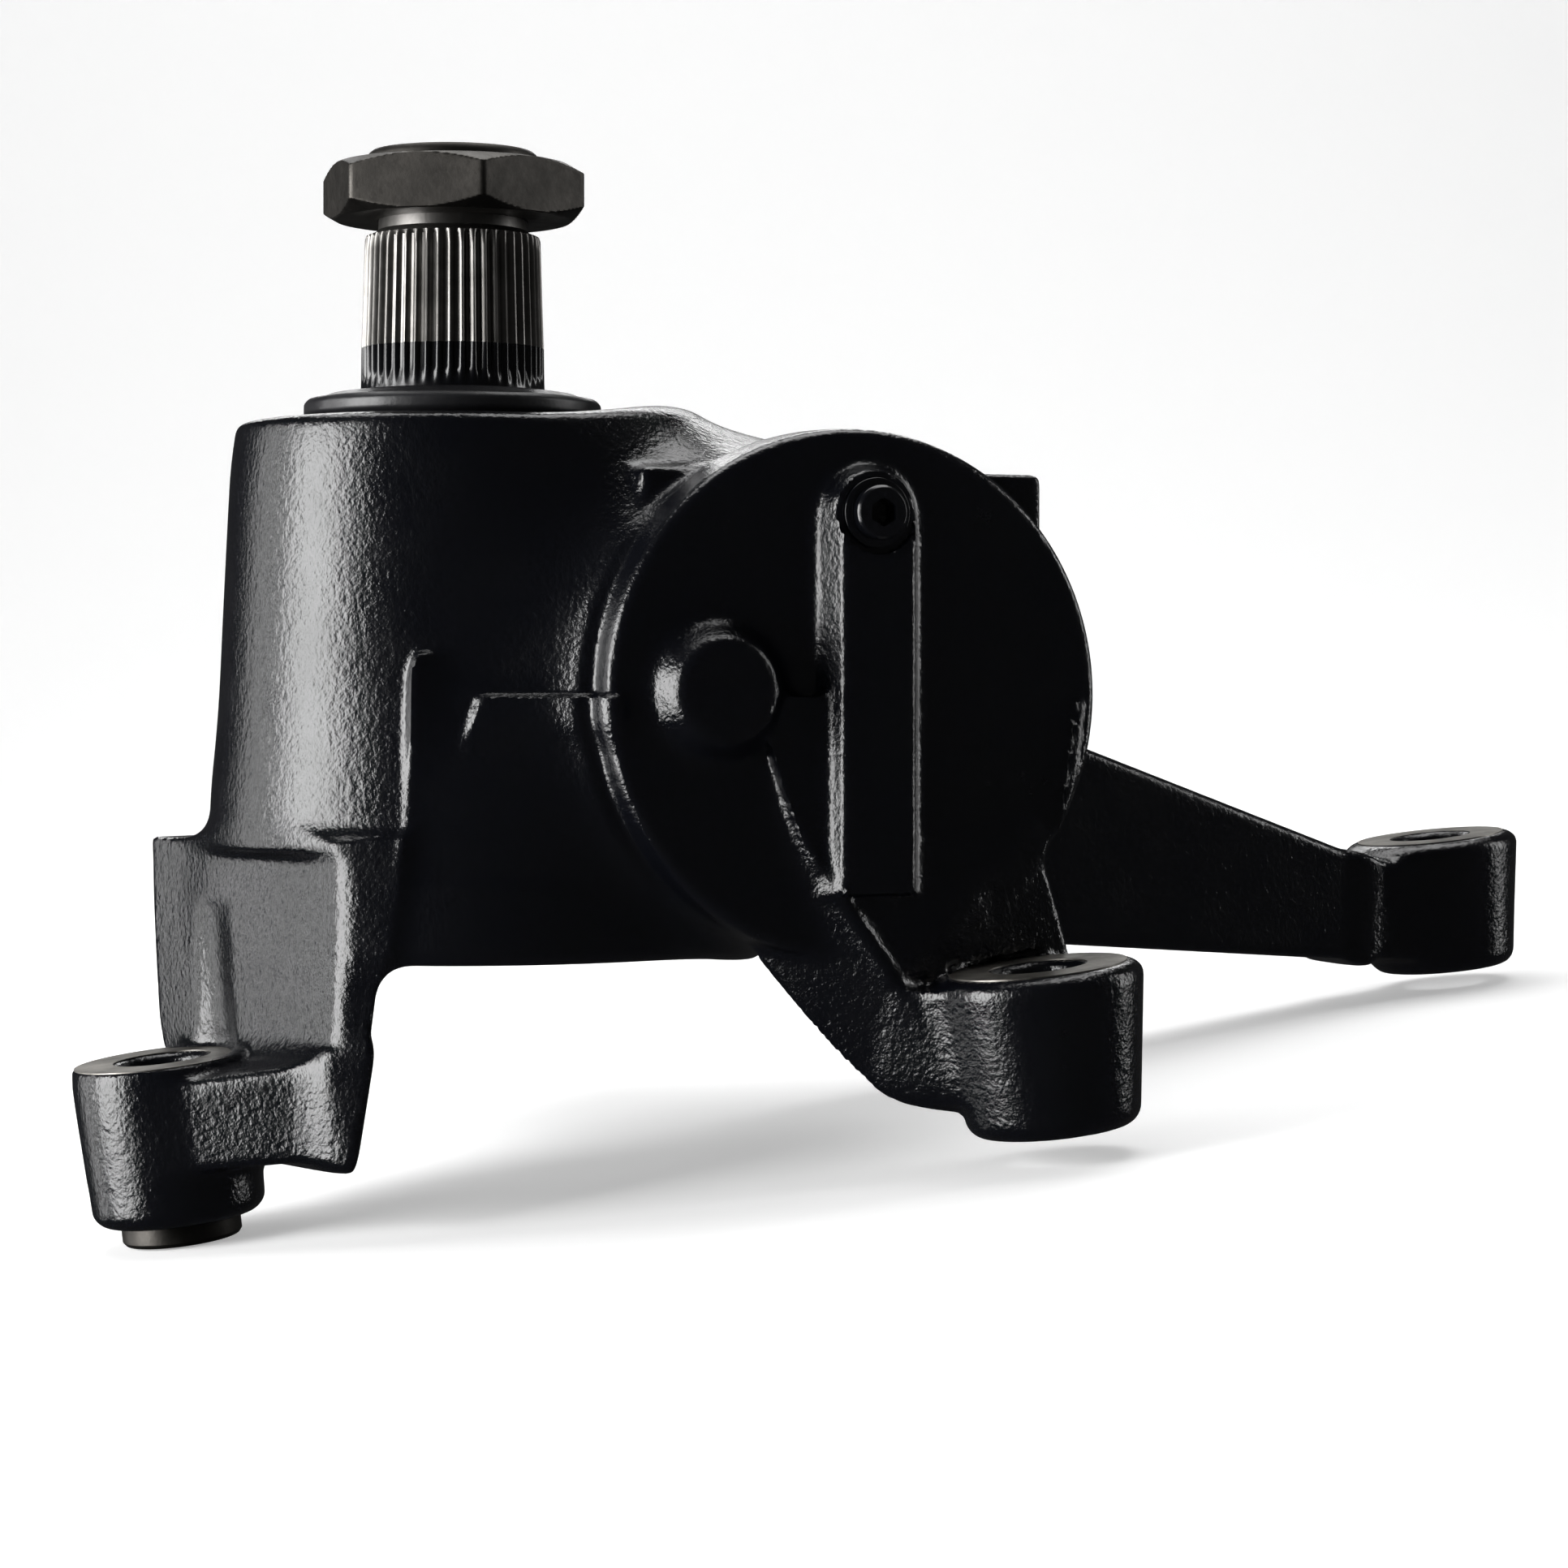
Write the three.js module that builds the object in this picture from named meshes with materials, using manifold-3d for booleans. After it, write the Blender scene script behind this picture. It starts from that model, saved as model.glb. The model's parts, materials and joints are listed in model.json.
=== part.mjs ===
// Power steering gearbox: a recirculating-ball worm drives a rack piston, and the rack turns a sector shaft.
// Millimetres, +Z up. The gear is laid out in its own frame (X right, Y along the worm, Z along the sector
// shaft) and then leaned over as one group, so that its three mounting lugs stand square on the ground.
import * as THREE from "three";
import { ConvexGeometry } from "three/addons/geometries/ConvexGeometry.js";
import { mergeVertices } from "three/addons/utils/BufferGeometryUtils.js";
import Module from "manifold-3d";

const wasm = await Module();
wasm.setup();

// ---- driving dimensions ----
const LEAN = THREE.MathUtils.degToRad(6.7); // sector shaft to the normal of the lug plane
const GAP = 0.3; // running and fitting gap between faceted pieces
const ROUND = 36; // sides of the large round faces
const SIDES = 18; // sides of the others
const BORE_X = 3; // the worm axis runs along Y at this X, at Z = 0
const SECTOR_X = -63;
const SECTOR_Y = 68;

const PITCH_RADIUS = 36; // sector gear
const MODULE = 5.6;
const PRESSURE_ANGLE = THREE.MathUtils.degToRad(25);
const TOOTH_PITCH = Math.PI * MODULE;
const ADDENDUM = 5;
const DEDENDUM = 5.8;
const BACKLASH = 0.7;
const SECTOR_FACE = 21; // half the width of the gear face

const WORM_LEAD = 12;
const BALL_RADIUS = 3.97;
const BALL_SPACING = 7.2;
const BALL_PITCH_RADIUS = 14; // ball centres from the worm axis
const GROOVE_RADIUS = 4.5;
const CIRCUIT_Y = 107; // middle of the ball circuit with the wheels straight ahead
const CIRCUIT_TURNS = 1.5;

const BORE_RADIUS = 37;
const CYLINDER_RADIUS = 53;
const CYLINDER_END = 158;
const DISC_RADIUS = 55.2;
const END_WALL = 9;

const DRUM_TOP = 58;
const CHAMBER_BOTTOM = -55;
const CHAMBER_X = -56.5;
const CHAMBER_RADIUS = 55.5;
const COVER_X = -55;
const CAVITY_RADIUS = 39.2;
const COVER_LEDGE = -43;
const COVER_RADIUS = 49.7;
const COVER_FACE = -49.5;
const COVER_BOLT_CIRCLE = 43.8;
const SHAFT_RADIUS = 20;

const LUG_RADIUS = 19;
const LUG_DEPTH = 33.6;
const LUG_HOLE_RADIUS = 8.75;
const SLEEVE_RADIUS = 12.5;
const SLEEVE_STAND = 4.5;
const LUGS = {
  left: new THREE.Vector3(-126, 70, -76.5),
  middle: new THREE.Vector3(36.7, -14.8, -56),
  right: new THREE.Vector3(217, 128, -36.5),
};

const VALVE_FACE = CYLINDER_END + GAP;
const VALVE_END = 222;
const VALVE_BOLT_CIRCLE = 45.5;

// ---- materials ----
const paint = (name, color, roughness, metalness) =>
  Object.assign(new THREE.MeshStandardMaterial({ color, roughness, metalness }), { name });
const blackPaint = paint("black_paint", 0x0b0c10, 0.35, 0.0);
const blackOxide = paint("black_oxide", 0x2b2a28, 0.55, 0.6);
const steel = paint("steel", 0x8d8f92, 0.35, 1.0);
const darkSteel = paint("dark_steel", 0x55565a, 0.45, 1.0);
const rubber = paint("rubber", 0x101010, 0.7, 0.0);
const seatPlastic = paint("ptfe", 0x6d5a3a, 0.5, 0.0);
const plugPlastic = paint("plug_plastic", 0x9c1f1b, 0.5, 0.0);

// ---- geometry helpers ----
function solid(geometry) {
  const plain = geometry.index ? geometry.toNonIndexed() : geometry.clone();
  plain.deleteAttribute("normal");
  plain.deleteAttribute("uv");
  const merged = mergeVertices(plain, 1e-4);
  const vertProperties = merged.attributes.position.array;
  const triVerts = new Uint32Array(merged.index.array);
  const made = new wasm.Manifold(new wasm.Mesh({ numProp: 3, vertProperties, triVerts }));
  if (made.volume() > 0) {
    return made;
  }
  for (let i = 0; i < triVerts.length; i += 3) {
    [triVerts[i + 1], triVerts[i + 2]] = [triVerts[i + 2], triVerts[i + 1]];
  }
  return new wasm.Manifold(new wasm.Mesh({ numProp: 3, vertProperties, triVerts }));
}

const join = (...solids) => solids.reduce((whole, next) => whole.add(next));
const cut = (body, ...tools) => tools.reduce((left, tool) => left.subtract(tool), body);

function geometryOf(body) {
  const mesh = body.getMesh();
  const geometry = new THREE.BufferGeometry();
  geometry.setAttribute("position", new THREE.BufferAttribute(mesh.vertProperties, 3));
  geometry.setIndex(new THREE.BufferAttribute(mesh.triVerts, 1));
  geometry.computeVertexNormals();
  return geometry;
}

const assembly = new THREE.Group();

function part(name, body, material) {
  const mesh = new THREE.Mesh(geometryOf(body), material.clone());
  mesh.name = name;
  assembly.add(mesh);
}

// A turned body about the line through centre; axis is X, Y or Z, and the profile holds [radius, along].
function turned(profile, axis, centre = [0, 0, 0], segments = SIDES) {
  const geometry = new THREE.LatheGeometry(profile.map(([r, y]) => new THREE.Vector2(r, y)), segments);
  if (axis === "Z") {
    geometry.rotateX(Math.PI / 2);
  }
  if (axis === "X") {
    geometry.rotateZ(-Math.PI / 2);
  }
  return solid(geometry.translate(...centre));
}

const rod = (radius, from, to, axis, centre, segments = SIDES) =>
  turned([[0, from], [radius, from], [radius, to], [0, to]], axis, centre, segments);

// The inner radius of a faceted ring in which a faceted shaft turns freely.
const clearOf = (radius) => (radius + 0.12) / Math.cos(Math.PI / SIDES);

const ring = (inner, outer, from, to, axis, centre, segments = SIDES) =>
  turned([[inner, from], [outer, from], [outer, to], [inner, to], [inner, from]], axis, centre, segments);

function box(x0, x1, y0, y1, z0, z1) {
  const geometry = new THREE.BoxGeometry(x1 - x0, y1 - y0, z1 - z0);
  return solid(geometry.translate((x0 + x1) / 2, (y0 + y1) / 2, (z0 + z1) / 2));
}

const vectorOf = (p) => (p.isVector3 ? p : new THREE.Vector3(...p));
const hull = (points) => solid(new ConvexGeometry(points.map(vectorOf)));

// Points of a circle of the given radius in the plane square to axis, at the given distance along it.
function circlePoints(radius, axis, centre, along, segments = 24) {
  return Array.from({ length: segments }, (_, i) => {
    const angle = (i / segments) * 2 * Math.PI;
    const a = radius * Math.cos(angle);
    const b = radius * Math.sin(angle);
    const [x, y, z] = centre;
    if (axis === "Y") {
      return new THREE.Vector3(x + a, y + along, z + b);
    }
    return new THREE.Vector3(x + a, y + b, z + along);
  });
}

// A prism of a closed outline of [a, b] points, extruded from z = from to z = to.
function prism(outline, from, to) {
  const shape = new THREE.Shape(outline.map(([x, y]) => new THREE.Vector2(x, y)));
  const geometry = new THREE.ExtrudeGeometry(shape, { depth: to - from, bevelEnabled: false });
  return geometry.translate(0, 0, from);
}

function regular(sides, acrossFlats, phase = 0) {
  const radius = acrossFlats / 2 / Math.cos(Math.PI / sides);
  return Array.from({ length: sides }, (_, i) => {
    const angle = phase + (i / sides) * 2 * Math.PI;
    return [radius * Math.cos(angle), radius * Math.sin(angle)];
  });
}

// Carries a geometry built along +Z to lie along another axis, through centre.
function laid(geometry, axis, centre) {
  if (axis === "Y") {
    geometry.rotateX(-Math.PI / 2);
  }
  if (axis === "X") {
    geometry.rotateY(Math.PI / 2);
  }
  return solid(geometry.translate(...centre));
}

// A hexagon-head screw: the head sits on the seat and rises by head; the shank drops by length.
function hexScrew(acrossFlats, head, shank, length) {
  const hex = solid(prism(regular(6, acrossFlats), 0, head));
  return join(hex, rod(shank, -length, 0.6, "Z", [0, 0, 0], 8));
}

function placed(body, matrix) {
  const geometry = geometryOf(body);
  geometry.deleteAttribute("normal");
  return solid(geometry.applyMatrix4(matrix));
}

const place = (x, y, z, rx = 0, ry = 0, rz = 0) =>
  new THREE.Matrix4().compose(
    new THREE.Vector3(x, y, z),
    new THREE.Quaternion().setFromEuler(new THREE.Euler(rx, ry, rz)),
    new THREE.Vector3(1, 1, 1),
  );

const lugFrame = (lug) => place(lug.x, lug.y, lug.z, 0, -LEAN, 0);
const lugCircle = (lug, radius, z, segments = 16) =>
  circlePoints(radius, "Z", [0, 0, 0], z, segments).map((p) => p.applyMatrix4(lugFrame(lug)));

// ---- ball screw path ----
// Right-handed helix about +Y, at the ball pitch radius; theta = 0 lies on the +X side.
class BallPath extends THREE.Curve {
  constructor(from, to) {
    super();
    this.from = from;
    this.to = to;
  }
  getPoint(t, target = new THREE.Vector3()) {
    const theta = this.from + (this.to - this.from) * t;
    const middle = CIRCUIT_TURNS * Math.PI;
    return target.set(
      BORE_X + BALL_PITCH_RADIUS * Math.cos(theta),
      CIRCUIT_Y + (WORM_LEAD * (theta - middle)) / (2 * Math.PI),
      -BALL_PITCH_RADIUS * Math.sin(theta),
    );
  }
}

function sweep(path, radius, steps, sides = 8) {
  const section = new THREE.Shape(
    regular(sides, 2 * radius * Math.cos(Math.PI / sides)).map(([x, y]) => new THREE.Vector2(x, y)),
  );
  return solid(new THREE.ExtrudeGeometry(section, { steps, extrudePath: path, bevelEnabled: false }));
}

const grooveSteps = (path, perTurn) => Math.round(((path.to - path.from) / (2 * Math.PI)) * perTurn);

// ---- rack and sector teeth ----
const HALF_TOOTH = TOOTH_PITCH / 4;

// One rack groove, as the outline (radial distance from the worm axis, along), open towards the sector.
function rackGroove(centreY) {
  const flank = Math.tan(PRESSURE_ANGLE);
  const pitchLine = BORE_X - SECTOR_X - PITCH_RADIUS;
  const outside = BORE_RADIUS + 2;
  const root = pitchLine - DEDENDUM;
  const wide = HALF_TOOTH + (outside - pitchLine) * flank;
  const narrow = HALF_TOOTH - DEDENDUM * flank;
  const outline = [
    [BORE_X - outside, centreY - wide],
    [BORE_X - root, centreY - narrow],
    [BORE_X - root, centreY + narrow],
    [BORE_X - outside, centreY + wide],
  ];
  return solid(prism(outline, -SECTOR_FACE - 2, SECTOR_FACE + 2));
}

// One involute tooth of the sector gear, pointing along +X from the sector axis.
function sectorTooth() {
  const base = PITCH_RADIUS * Math.cos(PRESSURE_ANGLE);
  const involute = (r) => {
    const a = Math.acos(Math.min(1, base / r));
    return Math.tan(a) - a;
  };
  const halfAtPitch = (TOOTH_PITCH / 2 - BACKLASH) / (2 * PITCH_RADIUS);
  const half = (r) => halfAtPitch + involute(PITCH_RADIUS) - involute(r);
  const tip = PITCH_RADIUS + ADDENDUM - GAP;
  const radii = [0, 0.25, 0.5, 0.75, 1].map((t) => base + t * (tip - base));
  const root = PITCH_RADIUS - DEDENDUM - 4;
  const side = (sign) => [root, ...radii].map((r) => {
    const angle = sign * half(Math.max(r, base));
    return [r * Math.cos(angle), r * Math.sin(angle)];
  });
  return [...side(-1), ...side(1).reverse()];
}

// ---- gear housing ----
const worm = [BORE_X, 0, 0];
const sector = [SECTOR_X, SECTOR_Y, 0];
const chamber = [CHAMBER_X, SECTOR_Y, 0];
const cover = [COVER_X, SECTOR_Y, 0];
const RIB_X = 4.5;
const RIB_TOP = 46;
const RIB_BOTTOM = -41;
const RIB_HEIGHT = 8;
const STOP_Z = 37;
const STOP_FACE = -RIB_HEIGHT + 2.4;
const STOP_FRONT = STOP_FACE - 4.2;
const COLLAR_X = 6.2;
const COLLAR_HALF = 45.2;
const COLLAR_TOP = 46.8;

function disc() {
  return turned(
    [[0, 0], [53.4, 0], [54.4, 1.2], [DISC_RADIUS, 10], [DISC_RADIUS, 13], [CYLINDER_RADIUS - 1, 15],
      [0, 15]],
    "Y", worm, ROUND,
  );
}

// The strap of metal down the closed end: round at the top, drafted on both sides.
function rib() {
  const outline = (halfWidth, top, y) => {
    const arc = Array.from({ length: 9 }, (_, i) => {
      const angle = (i / 8) * Math.PI;
      return [RIB_X + halfWidth * Math.cos(angle), y, top - halfWidth + halfWidth * Math.sin(angle)];
    });
    return [...arc, [RIB_X - halfWidth, y, RIB_BOTTOM], [RIB_X + halfWidth, y, RIB_BOTTOM]];
  };
  return hull([...outline(12, RIB_TOP + 2, 1), ...outline(7.8, RIB_TOP - 1, -RIB_HEIGHT)]);
}

function roundBoss() {
  const centre = [-28, 0, 0.5];
  return turned([[0, 1], [15.5, 1], [15, 0], [10.6, -6.6], [9.8, -7], [0, -7]], "Y", centre, 24);
}

function saddle() {
  return hull([
    [SECTOR_X, 40, 57], [SECTOR_X, 96, 57], [-16, 46, 55.5], [-16, 92, 55.5], [10, 50, 54], [10, 92, 54],
    [SECTOR_X + 20, 31, 44], [14, 29, 44], [SECTOR_X, 40, -46], [SECTOR_X, 100, -46],
    [14, 29, -46], [14, 104, -46], [14, 104, 44], [SECTOR_X, 104, 44],
  ]);
}

function drum() {
  const body = turned(
    [[0, COVER_LEDGE], [51.5, COVER_LEDGE], [50.2, 0], [47.2, 53], [46.3, 56.2], [44, DRUM_TOP],
      [0, DRUM_TOP]],
    "Z", sector, ROUND,
  );
  const lower = turned(
    [[0, CHAMBER_BOTTOM], [54, CHAMBER_BOTTOM], [CHAMBER_RADIUS, CHAMBER_BOTTOM + 2],
      [CHAMBER_RADIUS - 1, 0], [0, 0]],
    "Z", chamber, ROUND,
  );
  return join(body, lower);
}

// The upright pad on the front of the drum, beside the left leg; it ends above the cover.
function drumPad() {
  return hull([
    [-88, 21, -34], [-78, 13.5, -34], [-62, 12.5, -34], [-88, 40, -34], [-50, 40, -34],
    [-87, 24, 6], [-84, 22, 8], [-78, 18, 8], [-62, 17, 8], [-80, 40, 8], [-50, 40, 8],
  ]);
}

// A lug: the machined seat on top, a cast shoulder round it and a drafted side.
function lugBoss(lug, shoulder) {
  const profile = [
    [0, -LUG_DEPTH], [LUG_RADIUS - 3, -LUG_DEPTH], [LUG_RADIUS - 1, -LUG_DEPTH + 2],
    [LUG_RADIUS + shoulder, -2.4], [LUG_RADIUS + shoulder / 2, -0.6], [LUG_RADIUS - 0.4, 0], [0, 0],
  ];
  return placed(turned(profile, "Z", [0, 0, 0], 24), lugFrame(lug));
}

// A wall that hangs from the side of the drum, with the lug on its outer face and a web under the lug.
function leftLeg() {
  const at = (outline, z) => outline.map(([x, y]) => [x, y, z]);
  const wall = hull([
    ...at([[-98.4, 33], [-86, 36], [-122.6, 99], [-108, 108], [-84, 60]], -33),
    ...at([[-97.8, 34], [-90, 37.5], [-120.6, 99], [-108, 106], [-90, 60]], -74),
    ...at([[-97.6, 34.5], [-92, 38], [-112, 98]], -98),
  ]);
  const shoulder = hull([
    ...at([[-98.4, 33], [-86, 34], [-122.6, 99], [-108, 106], [-70, 60]], -33.4),
    ...at([[-90, 28], [-63, 24], [-113, 68], [-104, 98], [-63, 100]], -27),
  ]);
  const foot = hull([
    ...lugCircle(LUGS.left, LUG_RADIUS - 0.6, -2.4), ...lugCircle(LUGS.left, LUG_RADIUS - 2, -24),
    ...at([[-97.8, 33], [-90, 37.5], [-96, 90]], -73), ...at([[-97.6, 34], [-93, 38], [-98, 88]], -100),
  ]);
  const clear = placed(rod(LUG_RADIUS - 4, 0, 30, "Z", [0, 0, 0], 24), lugFrame(LUGS.left));
  return cut(join(wall, shoulder, foot), clear);
}

function middleArm() {
  const strap = hull([
    [-18, -6.5, -1], [6, -7, -1], [-18, 4, 0], [6, 4, 0], [-14, -6.5, -14], [8, -7, -34], [-3, -6.5, -34],
    [-14, 4, -14], [-24, 4, -12], [6, 4, -34],
  ]);
  const root = hull([
    [-10, -6.5, -22], [14, -5, -33], [42, -1, -28], [42, 12, -28], [-26, 6, -20], [-26, 14, -20],
    [-18, 0, -52], [-18, 14, -52], [46, 12, -44], [10, -20, -60], [10, 8, -74], [34, 6, -60],
  ]);
  const limb = hull([
    [-12, -4, -36], [14, -6, -36], [42, -2, -30], [44, 10, -34], [-18, 2, -52], [-18, 13, -52], [42, 10, -58],
    ...lugCircle(LUGS.middle, LUG_RADIUS - 0.5, -2.4), ...lugCircle(LUGS.middle, LUG_RADIUS - 3.5, -30),
    [6, -2, -79], [6, 8, -78],
  ]);
  const clear = placed(rod(LUG_RADIUS - 0.5, 0, 20, "Z", [0, 0, 0], 20), lugFrame(LUGS.middle));
  return join(strap, cut(join(root, limb), clear));
}

function rightArm() {
  const near = [[20, 92], [20, 116]];
  const far = [[190, 114], [190, 140]];
  const web = hull([
    ...near.map(([x, y]) => [x, y, 16.5]), ...near.map(([x, y]) => [x, y, -54]),
    ...far.map(([x, y]) => [x, y, -41]), ...far.map(([x, y]) => [x, y, -67]),
  ]);
  const end = hull([
    ...far.map(([x, y]) => [x, y, -41]), ...far.map(([x, y]) => [x, y, -67]),
    ...lugCircle(LUGS.right, LUG_RADIUS - 1, -2.4), ...lugCircle(LUGS.right, LUG_RADIUS - 2, -LUG_DEPTH + 2),
  ]);
  return join(web, end);
}

const endBolts = [45, 135, 225, 315].map((a) => THREE.MathUtils.degToRad(a));
const endBoltAt = (angle) => [
  BORE_X + VALVE_BOLT_CIRCLE * Math.cos(angle),
  VALVE_BOLT_CIRCLE * Math.sin(angle),
];
const coverBolts = Array.from({ length: 6 }, (_, i) => (i / 6) * 2 * Math.PI + 0.3);
const coverBoltAt = (angle) => [
  COVER_X + COVER_BOLT_CIRCLE * Math.cos(angle),
  SECTOR_Y + COVER_BOLT_CIRCLE * Math.sin(angle),
];

function gearHousing() {
  const cylinder = turned(
    [[0, 14], [CYLINDER_RADIUS, 14], [CYLINDER_RADIUS, 60], [CYLINDER_RADIUS - 2, 110],
      [CYLINDER_RADIUS - 2, 142], [CYLINDER_RADIUS + 1, 146], [CYLINDER_RADIUS + 1, CYLINDER_END],
      [0, CYLINDER_END]],
    "Y", worm, ROUND,
  );
  const collar = box(COLLAR_X - COLLAR_HALF, COLLAR_X + COLLAR_HALF, 13.5, 30, 0, COLLAR_TOP);
  const casting = join(
    cylinder, disc(), collar, rib(), roundBoss(), saddle(), drum(), drumPad(),
    leftLeg(), middleArm(), rightArm(),
    lugBoss(LUGS.left, 0.2), lugBoss(LUGS.middle, 2.6), lugBoss(LUGS.right, 2.8),
  );
  const hollows = [
    rod(BORE_RADIUS, END_WALL, CYLINDER_END + 1, "Y", worm, ROUND),
    rod(CAVITY_RADIUS, COVER_LEDGE - 1, SECTOR_FACE + 4, "Z", cover, ROUND),
    rod(COVER_RADIUS + GAP, CHAMBER_BOTTOM - 1, COVER_LEDGE, "Z", cover, ROUND),
    turned([[0, 20], [24.5, 20], [24.5, 44], [SHAFT_RADIUS + 1.2, 44], [SHAFT_RADIUS + 1.2, 47], [28, 47],
      [28, DRUM_TOP + 1], [0, DRUM_TOP + 1]], "Z", sector),
    rod(4.3, -RIB_HEIGHT - 1, END_WALL + 1, "Y", [RIB_X, 0, STOP_Z], 16),
    rod(8.6, -RIB_HEIGHT - 4, STOP_FACE, "Y", [RIB_X, 0, STOP_Z], 24),
  ];
  for (const lug of Object.values(LUGS)) {
    hollows.push(placed(rod(LUG_HOLE_RADIUS, -LUG_DEPTH - 1, 1, "Z", [0, 0, 0], 20), lugFrame(lug)));
  }
  for (const lug of [LUGS.left, LUGS.right]) {
    const seat = rod(SLEEVE_RADIUS + GAP, -LUG_DEPTH - 1, -LUG_DEPTH + 9, "Z", [0, 0, 0], 20);
    hollows.push(placed(seat, lugFrame(lug)));
  }
  for (const angle of endBolts) {
    const [x, z] = endBoltAt(angle);
    hollows.push(rod(5.5, CYLINDER_END - 24, CYLINDER_END + 1, "Y", [x, 0, z], 8));
  }
  for (const angle of coverBolts) {
    const [x, y] = coverBoltAt(angle);
    hollows.push(rod(3.4, COVER_LEDGE - 1, COVER_LEDGE + 7, "Z", [x, y, 0], 8));
  }
  return cut(casting, ...hollows);
}

part("gear_housing", gearHousing(), blackPaint);

// ---- side cover, at the bottom of the sector chamber ----
function sideCover() {
  const plate = turned(
    [[0, COVER_FACE], [COVER_RADIUS - 1, COVER_FACE], [COVER_RADIUS, COVER_FACE + 1],
      [COVER_RADIUS, COVER_LEDGE - GAP], [CAVITY_RADIUS - 0.6, COVER_LEDGE - GAP], [CAVITY_RADIUS - 0.6, -38],
      [0, -38]],
    "Z", cover, ROUND,
  );
  const hub = join(rod(27, -39, -26, "Z", sector), rod(13, COVER_FACE - 1.2, COVER_FACE + 1, "Z", sector));
  const tools = [
    rod(24.5, -44, -20, "Z", sector),
    rod(5.4, -60, -40, "Z", sector, 16),
    ...coverBolts.map((angle) => rod(3.4, -60, -40, "Z", [...coverBoltAt(angle), 0], 8)),
  ];
  return cut(join(plate, hub), ...tools);
}

part("side_cover", sideCover(), blackPaint);
part("side_cover_seal", ring(CAVITY_RADIUS - 2.6, CAVITY_RADIUS - 0.9, -37.7, -35.9, "Z", cover), rubber);
coverBolts.forEach((angle, i) => {
  const bolt = hexScrew(10, 4.6, 3, 12.5);
  const seat = place(...coverBoltAt(angle), COVER_FACE - GAP, Math.PI, 0, 0);
  part(`side_cover_bolt_${i + 1}`, placed(bolt, seat), blackPaint);
});
part("adjuster_lock_nut", placed(
  cut(solid(prism(regular(6, 16), 0, 5)), rod(5.4, -1, 6, "Z", [0, 0, 0], 16)),
  place(SECTOR_X, SECTOR_Y, COVER_FACE - 6.5),
), blackOxide);
part("adjuster_screw", cut(
  join(rod(5, -57.6, -38.5, "Z", sector, 16), rod(7.5, -38.5, -35.5, "Z", sector, 16)),
  solid(prism(regular(6, 5), -58.6, -53).translate(...sector)),
), steel);

// ---- sector shaft, its nut, bearings and seals ----
const SERRATIONS = 36;
const SERRATION_TOP = 98;
const SERRATION_BOTTOM = 66;
const SHAFT_END = 115.8;

function serratedEnd(teeth, tip, root, from, to, shrink) {
  const outline = Array.from({ length: teeth * 2 }, (_, i) => {
    const radius = i % 2 ? root : tip;
    const angle = (i / (teeth * 2)) * 2 * Math.PI;
    return [radius * Math.cos(angle), radius * Math.sin(angle)];
  });
  const geometry = prism(outline, from, to);
  const position = geometry.attributes.position;
  for (let i = 0; i < position.count; i += 1) {
    const scale = 1 - (shrink * (position.getZ(i) - from)) / (to - from);
    position.setX(i, position.getX(i) * scale);
    position.setY(i, position.getY(i) * scale);
  }
  return geometry;
}

function sectorShaft() {
  const stem = turned(
    [[0, -33], [SHAFT_RADIUS - 1, -33], [SHAFT_RADIUS, -32], [SHAFT_RADIUS, SERRATION_BOTTOM - 1.5],
      [18.6, SERRATION_BOTTOM + 1], [17.2, SERRATION_TOP - 1], [15.9, SERRATION_TOP + 2],
      [15.9, SHAFT_END - 1], [14.8, SHAFT_END], [0, SHAFT_END]],
    "Z", sector,
  );
  const serrated = serratedEnd(SERRATIONS, 19.6, 18.5, SERRATION_BOTTOM, SERRATION_TOP, 0.05);
  const splines = solid(serrated.translate(...sector));
  const hub = turned(
    [[0, -SECTOR_FACE], [PITCH_RADIUS - DEDENDUM, -SECTOR_FACE], [PITCH_RADIUS - DEDENDUM, SECTOR_FACE],
      [0, SECTOR_FACE]],
    "Z", sector,
  );
  const backCut = box(
    SECTOR_X - 60, SECTOR_X - 12, SECTOR_Y - 60, SECTOR_Y + 60, -SECTOR_FACE - 1, SECTOR_FACE + 1,
  );
  const teeth = [-1, 0, 1].map((step) => {
    const tooth = prism(sectorTooth(), -SECTOR_FACE, SECTOR_FACE);
    return solid(tooth.rotateZ((step * TOOTH_PITCH) / PITCH_RADIUS).translate(...sector));
  });
  const tools = [
    rod(8, -34, -30, "Z", sector, 16),
    rod(5.4, -40, -28, "Z", sector, 16),
    turned([[0, 112], [2, 112], [4, 117], [0, 117]], "Z", sector, 12),
  ];
  return cut(join(stem, splines, cut(hub, backCut), ...teeth), ...tools);
}

part("sector_shaft", sectorShaft(), darkSteel);

const NUT_BOTTOM = 101.8;
const NUT_TOP = 113.6;
const NUT_FLATS = 51;
const CROWN_TOP = 116.5;
const NUT_CORNER = THREE.MathUtils.degToRad(20.6);

function pitmanNut() {
  const hex = solid(prism(regular(6, NUT_FLATS, NUT_CORNER), NUT_BOTTOM, NUT_TOP).translate(...sector));
  const chamfers = turned(
    [[0, NUT_BOTTOM], [25.8, NUT_BOTTOM], [29.7, NUT_BOTTOM + 2.4], [29.7, NUT_TOP - 2.4], [25.8, NUT_TOP],
      [0, NUT_TOP]],
    "Z", sector, ROUND,
  );
  const crown = turned(
    [[0, NUT_TOP - 1], [18.4, NUT_TOP - 1], [17.9, CROWN_TOP - 0.5], [17.2, CROWN_TOP], [0, CROWN_TOP]], "Z", sector,
  );
  return cut(join(hex.intersect(chamfers), crown), rod(15.9 + GAP, 100, 120, "Z", sector));
}

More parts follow.
